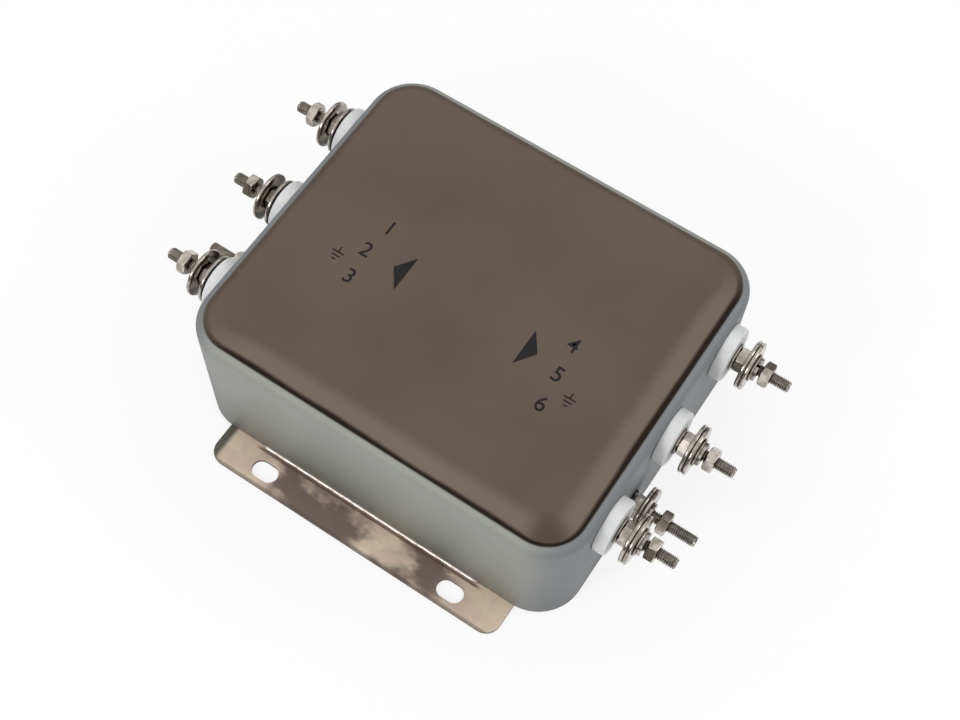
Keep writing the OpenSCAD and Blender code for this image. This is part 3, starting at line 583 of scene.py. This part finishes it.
# Unfilled nylon: milky white with a cold cast, satin, with faint cloudiness inside and
# a grey bloom from handling.
place = add_node(tree, "ShaderNodeTexCoord").outputs["Object"]
bloom = add_node(tree, "ShaderNodeTexNoise", {}, {"Vector": place, "Scale": 260, "Detail": 3})
colour = add_node(tree, "ShaderNodeMix", {"data_type": "RGBA"},
                  {0: bloom.outputs["Fac"], 6: linear("#C5C7C7"), 7: linear("#DCDDDC")})
turned_skin = add_node(tree, "ShaderNodeBump", {},
                       {"Height": bloom.outputs["Fac"], "Strength": 0.08, "Distance": 0.0003})
plastic = add_node(tree, "ShaderNodeBsdfPrincipled", {},
                   {"Base Color": colour.outputs[2], "Roughness": 0.42,
                    "Subsurface Weight": 0.15, "Subsurface Scale": 0.001,
                    "Normal": turned_skin.outputs[0]})
add_node(tree, "ShaderNodeOutputMaterial", {}, {"Surface": plastic.outputs[0]})


def revolve(bm, profile, steps, closed=True, sweep=2 * math.pi, climb=0):
    """Spin a profile of (radius, height) points about Z; returns the new vertices."""
    before = len(bm.verts)
    points = [bm.verts.new((radius, 0, height)) for radius, height in profile]
    edges = [bm.edges.new(pair) for pair in zip(points, points[1:])]
    if closed:
        edges.append(bm.edges.new((points[-1], points[0])))
    whole = climb == 0 and sweep == 2 * math.pi
    bmesh.ops.spin(bm, geom=points + edges, cent=(0, 0, 0), axis=(0, 0, 1), angle=sweep,
                   steps=steps, dvec=(0, 0, climb / steps), use_merge=whole)
    bm.verts.ensure_lookup_table()
    return bm.verts[before:]


def put_on_wall(bm, verts, side, stud, out, turn=0):
    """Carry verts built along Z to a stud's place on an end wall, out from the wall."""
    lo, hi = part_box(stud)
    bmesh.ops.transform(bm, verts=verts, matrix=(
        Matrix.Translation((side * (wall_x + out), (lo.y + hi.y) / 2, (lo.z + hi.z) / 2))
        @ Matrix.Rotation(side * math.pi / 2, 4, "Y")
        @ Matrix.Rotation(turn, 4, "Z")))


def finish_surface(bm, sharp_angle):
    """Closed and facing out, smooth but for edges sharper than the angle."""
    bmesh.ops.remove_doubles(bm, verts=bm.verts, dist=0.002 * MM)
    bmesh.ops.recalc_face_normals(bm, faces=bm.faces)
    for f in bm.faces:
        f.smooth = True
    for e in bm.edges:
        if len(e.link_faces) == 2 and e.calc_face_angle() > sharp_angle:
            e.smooth = False


def span(node):
    """How far from the end wall the node of one end starts and stops."""
    lo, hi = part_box(node)
    return min(abs(lo.x), abs(hi.x)) - wall_x, max(abs(lo.x), abs(hi.x)) - wall_x


STUD_R = 2 * MM
NECK_R = 3.5 * MM

for end, side in (("line", -1), ("load", 1)):
    for i in (1, 2, 3):
        name = f"{end}_insulator_{i}"
        stud = f"{end}_stud_{i}"
        inner, outer = span(name)
        lo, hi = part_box(name)
        flange_r = (hi.y - lo.y) / 2
        bore = STUD_R + 0.15 * MM
        rounding = [(flange_r - BUSH_EDGE * (1 - math.sin(a)),
                     outer - BUSH_EDGE * (1 - math.cos(a)))
                    for a in (math.pi / 2, math.pi / 3, math.pi / 6, 0)]
        bm = bmesh.new()
        verts = revolve(bm, [
            (bore, inner), (NECK_R, inner), (NECK_R, 0), (flange_r - 0.3 * MM, 0),
            (flange_r, 0.3 * MM), *rounding, (bore + BORE_CHAMFER, outer),
            (bore, outer - BORE_CHAMFER)], 64)
        put_on_wall(bm, verts, side, stud, 0)
        finish_surface(bm, math.radians(35))
        new_piece(f"{end}_bush_{i}", bm, milky_nylon, "white_insulation", name)

# ---- Plated hardware finishes ------------------------------------------------
# Nickel-plated steel studs, nuts and washers, handled and tightened more than once, with painted
# shade in every gap, and zinc-plated spring washers.


def plated(name, bright, worn, speckle):
    """Plated steel that mirrors the room, dulled in patches, with painted shade in its gaps."""
    material, tree = new_material(name)
    place = add_node(tree, "ShaderNodeTexCoord").outputs["Object"]
    patches = add_node(tree, "ShaderNodeTexNoise", {},
                       {"Vector": place, "Scale": speckle, "Detail": 3})
    share = add_node(tree, "ShaderNodeMapRange", {"interpolation_type": "SMOOTHSTEP"},
                     {"Value": patches.outputs["Fac"], "From Min": 0.38, "From Max": 0.62})
    skin = add_node(tree, "ShaderNodeMix", {"data_type": "RGBA"},
                    {0: share.outputs[0], 6: linear(worn), 7: linear(bright)})
    # Painted shade: near-black in the gaps between parts, from ambient occlusion.
    gap = add_node(tree, "ShaderNodeAmbientOcclusion", {"samples": 6},
                   {"Distance": 1.6 * MM})
    open_share = add_node(tree, "ShaderNodeMapRange", {"interpolation_type": "SMOOTHSTEP"},
                          {"Value": gap.outputs["AO"], "From Min": 0.25, "From Max": 0.8})
    colour = add_node(tree, "ShaderNodeMix", {"data_type": "RGBA"},
                      {0: open_share.outputs[0], 6: linear("#2B2521"), 7: skin.outputs[2]})
    rough = add_node(tree, "ShaderNodeMapRange", {},
                     {"Value": patches.outputs["Fac"], "To Min": 0.24, "To Max": 0.12})
    metal = add_node(tree, "ShaderNodeBsdfPrincipled", {},
                     {"Base Color": colour.outputs[2], "Metallic": 1.0,
                      "Roughness": rough.outputs[0]})
    add_node(tree, "ShaderNodeOutputMaterial", {}, {"Surface": metal.outputs[0]})
    return material


stud_nickel = plated("nickel_plated_stud", "#B7B0A5", "#958E84", 480)
nut_nickel = plated("nickel_plated_nut", "#C4BDB2", "#979086", 300)
washer_nickel = plated("nickel_plated_washer", "#BCB4A9", "#99918A", 260)
spring_zinc = plated("zinc_plated_spring", "#B0AAA1", "#837C74", 420)

# ---- Studs -------------------------------------------------------------------
# Screws with a hexagon head inside the can and a metric thread rolled along the whole
# shank, its end chamfered.

THREAD_PITCH = 0.7 * MM
THREAD_ROOT = 1.62 * MM
THREAD_CREST = STUD_R - 0.01 * MM
THREAD_FLANKS = (0.10, 0.31, 0.39, 0.60)    # ends of the two flanks along one pitch, in mm
THREAD_STEPS = 18
END_CHAMFER = 0.5 * MM
HEAD_HEIGHT = 2.8 * MM
HEAD_FLATS = 7 * MM
HEAD_FACE_R = 0.47 * HEAD_FLATS


def hexagon_on(verts, flats, face_r, low, high):
    """Press a turned blank to a hexagon whose corners fall away on a cone."""
    for v in verts:
        reach = math.hypot(v.co.x, v.co.y)
        if reach < face_r + 0.001 * MM:
            continue
        angle = (math.atan2(v.co.y, v.co.x) + math.pi / 6) % (math.pi / 3) - math.pi / 6
        side_r = min(reach, flats / 2 / math.cos(angle))
        drop = (side_r - face_r) * math.tan(math.radians(30))
        v.co.x *= side_r / reach
        v.co.y *= side_r / reach
        v.co.z = low + drop if v.co.z < (low + high) / 2 else high - drop


for end, side in (("line", -1), ("load", 1)):
    for stud in [f"{end}_stud_{i}" for i in (1, 2, 3)] + [f"{end}_ground_stud"]:
        inner, outer = span(stud)
        head_face = inner + HEAD_HEIGHT
        turns = math.ceil((outer - head_face) / THREAD_PITCH) + 2
        bm = bmesh.new()
        verts = revolve(bm, [
            (THREAD_ROOT, 0), (THREAD_ROOT, THREAD_FLANKS[0] * MM),
            (THREAD_CREST, THREAD_FLANKS[1] * MM), (THREAD_CREST, THREAD_FLANKS[2] * MM),
            (THREAD_ROOT, THREAD_FLANKS[3] * MM), (THREAD_ROOT, THREAD_PITCH)],
            turns * THREAD_STEPS, closed=False, sweep=turns * 2 * math.pi,
            climb=turns * THREAD_PITCH)
        bmesh.ops.remove_doubles(bm, verts=verts, dist=0.002 * MM)
        bmesh.ops.translate(bm, verts=bm.verts, vec=(0, 0, head_face - THREAD_PITCH))
        for level, clear in ((head_face, -1), (outer, 1)):
            bmesh.ops.bisect_plane(
                bm, geom=bm.verts[:] + bm.edges[:] + bm.faces[:], plane_co=(0, 0, level),
                plane_no=(0, 0, clear), clear_outer=True)
        bmesh.ops.holes_fill(bm, edges=[e for e in bm.edges if e.is_boundary], sides=0)
        for v in bm.verts:
            reach = math.hypot(v.co.x, v.co.y)
            limit = STUD_R - END_CHAMFER - 0.1 * MM + (outer - v.co.z)
            if reach > limit:
                v.co.x *= limit / reach
                v.co.y *= limit / reach
        corner = HEAD_FLATS / 2 / math.cos(math.pi / 6)
        head = revolve(bm, [(0, head_face), (corner, head_face), (corner, inner), (0, inner)], 48)
        hexagon_on(head, HEAD_FLATS, HEAD_FACE_R, inner, head_face)
        put_on_wall(bm, bm.verts[:], side, stud, 0)
        finish_surface(bm, math.radians(38))
        new_piece(f"{stud}_threaded", bm, stud_nickel, "nickel_studs", stud)

# ---- Nuts --------------------------------------------------------------------
# Plain M4 hexagon nuts, chamfered on both faces: one that clamps each stud to its bush and one,
# left loose, for the wire. No two on the same end stand at the same angle.

NUT_FLATS = 7 * MM
NUT_FACE_R = 0.475 * NUT_FLATS
NUT_CORNER_CHAMFER = 0.3 * MM
NUT_BORE = 1.8 * MM
NUT_BORE_CHAMFER = 0.35 * MM
EDGE_BREAK = 0.08 * MM


def nut(bm, height):
    """A hexagon nut that stands on Z = 0."""
    corner = NUT_FLATS / 2 / math.cos(math.pi / 6)
    verts = revolve(bm, [
        (NUT_BORE, NUT_BORE_CHAMFER), (NUT_BORE + NUT_BORE_CHAMFER, 0), (NUT_FACE_R, 0),
        (corner, NUT_CORNER_CHAMFER), (corner, height - NUT_CORNER_CHAMFER),
        (NUT_FACE_R, height), (NUT_BORE + NUT_BORE_CHAMFER, height),
        (NUT_BORE, height - NUT_BORE_CHAMFER)], 48)
    hexagon_on(verts, NUT_FLATS, NUT_FACE_R, 0, height)
    return verts


def close_row(name, bm, material, slot, node):
    """Finish a row as one piece, with its sharp edges broken."""
    finish_surface(bm, math.radians(30))
    piece = new_piece(name, bm, material, slot, node)
    broken = piece.modifiers.new("broken_edges", "BEVEL")
    broken.width = EDGE_BREAK
    broken.segments = 2
    broken.limit_method = "ANGLE"
    broken.angle_limit = math.radians(30)
    return piece


for end, side in (("line", -1), ("load", 1)):
    studs = [f"{end}_stud_{i}" for i in (1, 2, 3)]
    for node, turns in (("lock_nuts", (12, 40, 27)), ("outer_nuts", (33, 5, 50))):
        start, stop = span(f"{end}_{node}")
        bm = bmesh.new()
        for stud, turn in zip(studs, turns):
            put_on_wall(bm, nut(bm, stop - start), side, stud, start, math.radians(turn))
        close_row(f"{end}_{node}_turned", bm, nut_nickel, "nickel_nuts", f"{end}_{node}")

# The ground hardware is one node for both ends, so its depths follow from the stack.
tooth_end = span("ground_tooth_washers")[1]
ground_lock_end = span("ground_lock_nuts")[1]
ground_large_end = span("ground_large_washers")[1]
ground_spring_end = span("ground_spring_washers")[1]
ground_nut_end = span("ground_outer_nuts")[1]
nut_height = ground_lock_end - tooth_end
GROUND_ENDS = ((-1, "line_ground_stud"), (1, "load_ground_stud"))
for node, out, turns in (("ground_lock_nuts", tooth_end, (20, 8)),
                         ("ground_outer_nuts", ground_nut_end - nut_height, (44, 36))):
    bm = bmesh.new()
    for (side, stud), turn in zip(GROUND_ENDS, turns):
        put_on_wall(bm, nut(bm, nut_height), side, stud, out, math.radians(turn))
    close_row(f"{node}_turned", bm, nut_nickel, "nickel_nuts", node)

# ---- Washers -----------------------------------------------------------------
# Punched flat washers under each nut and a pair of heavy ones that hold the wire's lug,
# rounded by tumbling, a split spring washer and, on the ground studs, a toothed one.

WASHER_BORE = STUD_R + 0.15 * MM
WASHER_BORE_CHAMFER = 0.1 * MM
SPRING_R = 3.8 * MM
SPRING_STEPS = 44
SPRING_LIFT = 0.12 * MM
SPRING_SWEEP = math.radians(346)
TOOTH_COUNT = 10
TOOTH_TWIST = 0.12 * MM
TOOTH_ROOT_SHARE = 0.76         # of the rim's radius
LARGE_THICK = 1.2 * MM


def washer(bm, outer_r, low, high, soften):
    """A washer between two heights, whose rim is rounded by tumbling."""
    return revolve(bm, [
        (WASHER_BORE, low + WASHER_BORE_CHAMFER), (WASHER_BORE + WASHER_BORE_CHAMFER, low),
        (outer_r - soften, low), (outer_r - 0.3 * soften, low + 0.3 * soften),
        (outer_r, low + soften), (outer_r, high - soften),
        (outer_r - 0.3 * soften, high - 0.3 * soften), (outer_r - soften, high),
        (WASHER_BORE + WASHER_BORE_CHAMFER, high), (WASHER_BORE, high - WASHER_BORE_CHAMFER)], 48)


def outer_radius(node, studs):
    """Radius of the round pieces of a node, from its box and the studs that carry it."""
    lo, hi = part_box(node)
    first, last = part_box(studs[0])[0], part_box(studs[-1])[0]
    return (hi.y - lo.y - abs(first.y - last.y)) / 2


for end, side in (("line", -1), ("load", 1)):
    studs = [f"{end}_stud_{i}" for i in (1, 2, 3)]
    for kind in ("seat_washers", "flat_washers"):
        node = f"{end}_{kind}"
        start, stop = span(node)
        bm = bmesh.new()
        for stud in studs:
            verts = washer(bm, outer_radius(node, studs), start, stop, 0.15 * MM)
            put_on_wall(bm, verts, side, stud, 0)
        finish_surface(bm, math.radians(50))
        new_piece(f"{node}_punched", bm, washer_nickel, "nickel_washers", node)

for end, side in (("line", -1), ("load", 1)):
    studs = [f"{end}_stud_{i}" for i in (1, 2, 3)]
    node = f"{end}_large_washers"
    start, stop = span(node)
    bm = bmesh.new()
    for stud in studs:
        for low in (start, stop - LARGE_THICK):
            verts = washer(bm, outer_radius(node, studs), low, low + LARGE_THICK, 0.4 * MM)
            put_on_wall(bm, verts, side, stud, 0)
    finish_surface(bm, math.radians(50))
    new_piece(f"{node}_tumbled", bm, washer_nickel, "nickel_washers", node)

lo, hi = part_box("ground_large_washers")
bm = bmesh.new()
for side, stud in GROUND_ENDS:
    for low in (ground_lock_end, ground_large_end - LARGE_THICK):
        verts = washer(bm, (hi.y - lo.y) / 2, low, low + LARGE_THICK, 0.4 * MM)
        put_on_wall(bm, verts, side, stud, 0)
finish_surface(bm, math.radians(50))
new_piece("ground_large_washers_tumbled", bm, washer_nickel, "nickel_washers",
          "ground_large_washers")


def spring_washer(bm, outer_r, low, high):
    """One turn of square wire, cut through and sprung open by a little."""
    before = len(bm.verts)
    high -= SPRING_LIFT
    section = [bm.verts.new(p) for p in (
        (WASHER_BORE, 0, low), (outer_r, 0, low), (outer_r, 0, high), (WASHER_BORE, 0, high))]
    end_face = bm.faces.new(section)
    bmesh.ops.spin(bm, geom=[end_face], cent=(0, 0, 0), axis=(0, 0, 1), angle=SPRING_SWEEP,
                   steps=SPRING_STEPS, dvec=(0, 0, SPRING_LIFT / SPRING_STEPS),
                   use_merge=False)
    bm.verts.ensure_lookup_table()
    return bm.verts[before:]


for end, side in (("line", -1), ("load", 1)):
    node = f"{end}_spring_washers"
    start, stop = span(node)
    bm = bmesh.new()
    for i, turn in ((1, 200), (2, 95), (3, 320)):
        verts = spring_washer(bm, SPRING_R, start, stop)
        put_on_wall(bm, verts, side, f"{end}_stud_{i}", 0, math.radians(turn))
    close_row(f"{node}_split", bm, spring_zinc, "spring_steel", node)

bm = bmesh.new()
for (side, stud), turn in zip(GROUND_ENDS, (150, 60)):
    verts = spring_washer(bm, SPRING_R, ground_large_end, ground_spring_end)
    put_on_wall(bm, verts, side, stud, 0, math.radians(turn))
close_row("ground_spring_washers_split", bm, spring_zinc, "spring_steel",
          "ground_spring_washers")

lo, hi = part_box("ground_tooth_washers")
bm = bmesh.new()
for side, stud in GROUND_ENDS:
    rim = (hi.y - lo.y) / 2
    verts = revolve(bm, [
        (WASHER_BORE, TOOTH_TWIST), (0.72 * rim, TOOTH_TWIST), (rim, TOOTH_TWIST),
        (rim, tooth_end - TOOTH_TWIST), (0.72 * rim, tooth_end - TOOTH_TWIST),
        (WASHER_BORE, tooth_end - TOOTH_TWIST)], 6 * TOOTH_COUNT)
    for v in verts:
        if math.hypot(v.co.x, v.co.y) > 0.9 * rim:
            step = round(math.atan2(v.co.y, v.co.x) / (2 * math.pi) * 6 * TOOTH_COUNT) % 6
            if step in (0, 5):
                v.co.x *= TOOTH_ROOT_SHARE
                v.co.y *= TOOTH_ROOT_SHARE
            else:
                v.co.z += TOOTH_TWIST * (step - 2.5) / 1.5
    put_on_wall(bm, verts, side, stud, 0)
close_row("ground_tooth_washers_set", bm, spring_zinc, "spring_steel", "ground_tooth_washers")

# ---- Collars and tags inside -------------------------------------------------
# A second nylon collar clamps each bush from inside, and a punched, tinned brass tag
# lies under each screw's head for its lead.

for end in ("line", "load"):
    dress(f"{end}_inner_collars", milky_nylon)

tinned_brass, tree = new_material("tinned_brass")
# Hot-tinned brass: pale straw where the tin is thin, silvery where it is thick.
place = add_node(tree, "ShaderNodeTexCoord").outputs["Object"]
runs = add_node(tree, "ShaderNodeTexNoise", {}, {"Vector": place, "Scale": 350, "Detail": 3})
colour = add_node(tree, "ShaderNodeMix", {"data_type": "RGBA"},
                  {0: runs.outputs["Fac"], 6: linear("#C9B27A"), 7: linear("#CBC4B2")})
flow = add_node(tree, "ShaderNodeBump", {},
                {"Height": runs.outputs["Fac"], "Strength": 0.15, "Distance": 0.0002})
metal = add_node(tree, "ShaderNodeBsdfPrincipled", {},
                 {"Base Color": colour.outputs[2], "Metallic": 1.0, "Roughness": 0.3,
                  "Normal": flow.outputs[0]})
add_node(tree, "ShaderNodeOutputMaterial", {}, {"Surface": metal.outputs[0]})
for node in ("line_solder_tags", "load_solder_tags", "ground_tags"):
    dress(node, tinned_brass)

# ---- Board and what carries it -----------------------------------------------
# A glass-epoxy board on four hexagon brass spacers, over a sheet of pressboard that
# keeps the pins off the base plate, held down by four zinc-plated screws.

pressboard, tree = new_material("pressboard")
# Calendered pressboard: straw-coloured, matt, with short fibres that lie one way.
place = add_node(tree, "ShaderNodeTexCoord").outputs["Object"]
laid = add_node(tree, "ShaderNodeMapping", {}, {"Vector": place, "Scale": (0.25, 1, 1)})
fibres = add_node(tree, "ShaderNodeTexNoise", {},
                  {"Vector": laid.outputs[0], "Scale": 1500, "Detail": 3})
colour = add_node(tree, "ShaderNodeMix", {"data_type": "RGBA"},
                  {0: fibres.outputs["Fac"], 6: linear("#C9BE96"), 7: linear("#E3DAB6")})
felted = add_node(tree, "ShaderNodeBump", {},
                  {"Height": fibres.outputs["Fac"], "Strength": 0.2, "Distance": 0.0001})
paper = add_node(tree, "ShaderNodeBsdfPrincipled", {},
                 {"Base Color": colour.outputs[2], "Roughness": 0.85,
                  "Normal": felted.outputs[0]})
add_node(tree, "ShaderNodeOutputMaterial", {}, {"Surface": paper.outputs[0]})
dress("insulating_sheet", pressboard)

turned_brass, tree = new_material("turned_brass")
# Free-cutting brass from the bar: yellow, bright, with fine rings from the tool.
place = add_node(tree, "ShaderNodeTexCoord").outputs["Object"]
rings = add_node(tree, "ShaderNodeTexWave", {"bands_direction": "Z"},
                 {"Vector": place, "Scale": 900, "Distortion": 0.4})
colour = add_node(tree, "ShaderNodeMix", {"data_type": "RGBA"},
                  {0: rings.outputs["Fac"], 6: linear("#AF9653"), 7: linear("#C7AF6B")})
metal = add_node(tree, "ShaderNodeBsdfPrincipled", {},
                 {"Base Color": colour.outputs[2], "Metallic": 1.0, "Roughness": 0.28})
add_node(tree, "ShaderNodeOutputMaterial", {}, {"Surface": metal.outputs[0]})
dress("board_spacers", turned_brass)

glass_epoxy, tree = new_material("glass_epoxy_board")
# Glass-epoxy laminate under green solder mask, with the cloth's weave just showing.
place = add_node(tree, "ShaderNodeTexCoord").outputs["Object"]
warp = add_node(tree, "ShaderNodeTexWave", {"bands_direction": "X"},
                {"Vector": place, "Scale": 320, "Distortion": 0.6})
weft = add_node(tree, "ShaderNodeTexWave", {"bands_direction": "Y"},
                {"Vector": place, "Scale": 320, "Distortion": 0.6})
weave = add_node(tree, "ShaderNodeMath", {"operation": "MULTIPLY"},
                 {0: warp.outputs["Fac"], 1: weft.outputs["Fac"]})
colour = add_node(tree, "ShaderNodeMix", {"data_type": "RGBA"},
                  {0: weave.outputs[0], 6: linear("#4F6B38"), 7: linear("#638049")})
mask = add_node(tree, "ShaderNodeBsdfPrincipled", {},
                {"Base Color": colour.outputs[2], "Roughness": 0.35})
add_node(tree, "ShaderNodeOutputMaterial", {}, {"Surface": mask.outputs[0]})
dress("circuit_board", glass_epoxy)

zinc, tree = new_material("zinc_plate")
# Bright zinc with a thin blue passivation that has begun to spot.
place = add_node(tree, "ShaderNodeTexCoord").outputs["Object"]
spots = add_node(tree, "ShaderNodeTexNoise", {}, {"Vector": place, "Scale": 900, "Detail": 2})
colour = add_node(tree, "ShaderNodeMix", {"data_type": "RGBA"},
                  {0: spots.outputs["Fac"], 6: linear("#9498A0"), 7: linear("#B9B6AE")})
metal = add_node(tree, "ShaderNodeBsdfPrincipled", {},
                 {"Base Color": colour.outputs[2], "Metallic": 1.0, "Roughness": 0.3})
add_node(tree, "ShaderNodeOutputMaterial", {}, {"Surface": metal.outputs[0]})
dress("board_screws", zinc)

# ---- Choke -------------------------------------------------------------------
# A ring core coated in green epoxy powder, with one winding of enamelled copper for each
# phase, kept apart by a moulded nylon spider.

powder_epoxy, tree = new_material("powder_epoxy")
# Fluid-bed epoxy: mid green, half gloss, with the orange peel of fused powder.
place = add_node(tree, "ShaderNodeTexCoord").outputs["Object"]
peel = add_node(tree, "ShaderNodeTexNoise", {}, {"Vector": place, "Scale": 700, "Detail": 2})
colour = add_node(tree, "ShaderNodeMix", {"data_type": "RGBA"},
                  {0: peel.outputs["Fac"], 6: linear("#426050"), 7: linear("#567862")})
fused = add_node(tree, "ShaderNodeBump", {},
                 {"Height": peel.outputs["Fac"], "Strength": 0.3, "Distance": 0.0003})
coat = add_node(tree, "ShaderNodeBsdfPrincipled", {},
                {"Base Color": colour.outputs[2], "Roughness": 0.4,
                 "Normal": fused.outputs[0]})
add_node(tree, "ShaderNodeOutputMaterial", {}, {"Surface": coat.outputs[0]})
dress("choke_core", powder_epoxy)

magnet_wire, tree = new_material("enamelled_copper")
# Copper wire in a clear amber enamel: red-brown metal under a glossy skin.
place = add_node(tree, "ShaderNodeTexCoord").outputs["Object"]
drawn = add_node(tree, "ShaderNodeTexNoise", {}, {"Vector": place, "Scale": 250, "Detail": 2})
colour = add_node(tree, "ShaderNodeMix", {"data_type": "RGBA"},
                  {0: drawn.outputs["Fac"], 6: linear("#96501F"), 7: linear("#B4713F")})
metal = add_node(tree, "ShaderNodeBsdfPrincipled", {},
                 {"Base Color": colour.outputs[2], "Metallic": 0.7, "Roughness": 0.25,
                  "Coat Weight": 0.6, "Coat Roughness": 0.1})
add_node(tree, "ShaderNodeOutputMaterial", {}, {"Surface": metal.outputs[0]})
for i in (1, 2, 3):
    dress(f"choke_winding_{i}", magnet_wire)

moulded_nylon, tree = new_material("moulded_nylon")
# Natural nylon from the mould: ivory, satin, with a faint flow pattern.
place = add_node(tree, "ShaderNodeTexCoord").outputs["Object"]
flow = add_node(tree, "ShaderNodeTexNoise", {}, {"Vector": place, "Scale": 180, "Detail": 2})
colour = add_node(tree, "ShaderNodeMix", {"data_type": "RGBA"},
                  {0: flow.outputs["Fac"], 6: linear("#DAD2BE"), 7: linear("#E9E4D6")})
plastic = add_node(tree, "ShaderNodeBsdfPrincipled", {},
                   {"Base Color": colour.outputs[2], "Roughness": 0.45})
add_node(tree, "ShaderNodeOutputMaterial", {}, {"Surface": plastic.outputs[0]})
dress("choke_spider", moulded_nylon)

# ---- Small parts on the board ------------------------------------------------
# Film capacitors in moulded boxes, blue dipped disc capacitors to ground, and lacquered
# discharge resistors.

capacitor_box, tree = new_material("capacitor_box")
# Glass-filled polyester box: ochre yellow, half gloss, dusted with grey filler.
place = add_node(tree, "ShaderNodeTexCoord").outputs["Object"]
filler = add_node(tree, "ShaderNodeTexNoise", {}, {"Vector": place, "Scale": 1200, "Detail": 2})
colour = add_node(tree, "ShaderNodeMix", {"data_type": "RGBA"},
                  {0: filler.outputs["Fac"], 6: linear("#BE9730"), 7: linear("#D2AE48")})
plastic = add_node(tree, "ShaderNodeBsdfPrincipled", {},
                   {"Base Color": colour.outputs[2], "Roughness": 0.4})
add_node(tree, "ShaderNodeOutputMaterial", {}, {"Surface": plastic.outputs[0]})
for end in ("line", "load"):
    for i in (1, 2, 3):
        dress(f"{end}_x_capacitor_{i}", capacitor_box)

dipped_blue, tree = new_material("dipped_epoxy")
# Dipped phenolic skin: mid blue, glossy, with pinholes and soft runs.
place = add_node(tree, "ShaderNodeTexCoord").outputs["Object"]
runs = add_node(tree, "ShaderNodeTexNoise", {}, {"Vector": place, "Scale": 600, "Detail": 3})
colour = add_node(tree, "ShaderNodeMix", {"data_type": "RGBA"},
                  {0: runs.outputs["Fac"], 6: linear("#38669C"), 7: linear("#4778B4")})
sagged = add_node(tree, "ShaderNodeBump", {},
                  {"Height": runs.outputs["Fac"], "Strength": 0.2, "Distance": 0.0003})
skin = add_node(tree, "ShaderNodeBsdfPrincipled", {},
                {"Base Color": colour.outputs[2], "Roughness": 0.25,
                 "Normal": sagged.outputs[0]})
add_node(tree, "ShaderNodeOutputMaterial", {}, {"Surface": skin.outputs[0]})
dress("y_capacitors", dipped_blue)

lacquer, tree = new_material("resistor_lacquer")
# Carbon-film resistor lacquer: tan, half gloss, with a slightly uneven tone.
place = add_node(tree, "ShaderNodeTexCoord").outputs["Object"]
tone = add_node(tree, "ShaderNodeTexNoise", {}, {"Vector": place, "Scale": 500, "Detail": 2})
colour = add_node(tree, "ShaderNodeMix", {"data_type": "RGBA"},
                  {0: tone.outputs["Fac"], 6: linear("#AE9773"), 7: linear("#C6B08C")})
skin = add_node(tree, "ShaderNodeBsdfPrincipled", {},
                {"Base Color": colour.outputs[2], "Roughness": 0.3})
add_node(tree, "ShaderNodeOutputMaterial", {}, {"Surface": skin.outputs[0]})
dress("discharge_resistors", lacquer)

# ---- Leads -------------------------------------------------------------------
# Stranded wire in PVC from each tag down to the board: black for the phases, green for
# the two ground tags.

for name, dark, pale, ends in (
    ("black_pvc", "#26262A", "#35353B", ("line_leads", "load_leads")),
    ("green_pvc", "#6E8A31", "#86A24A", ("ground_leads",)),
):
    # Extruded PVC: one colour, half gloss, with the strands just showing through.
    pvc, tree = new_material(name)
    place = add_node(tree, "ShaderNodeTexCoord").outputs["Object"]
    strands = add_node(tree, "ShaderNodeTexNoise", {},
                       {"Vector": place, "Scale": 800, "Detail": 2})
    colour = add_node(tree, "ShaderNodeMix", {"data_type": "RGBA"},
                      {0: strands.outputs["Fac"], 6: linear(dark), 7: linear(pale)})
    skin = add_node(tree, "ShaderNodeBump", {},
                    {"Height": strands.outputs["Fac"], "Strength": 0.1, "Distance": 0.0001})
    plastic = add_node(tree, "ShaderNodeBsdfPrincipled", {},
                       {"Base Color": colour.outputs[2], "Roughness": 0.4,
                        "Normal": skin.outputs[0]})
    add_node(tree, "ShaderNodeOutputMaterial", {}, {"Surface": plastic.outputs[0]})
    for node in ends:
        dress(node, pvc)
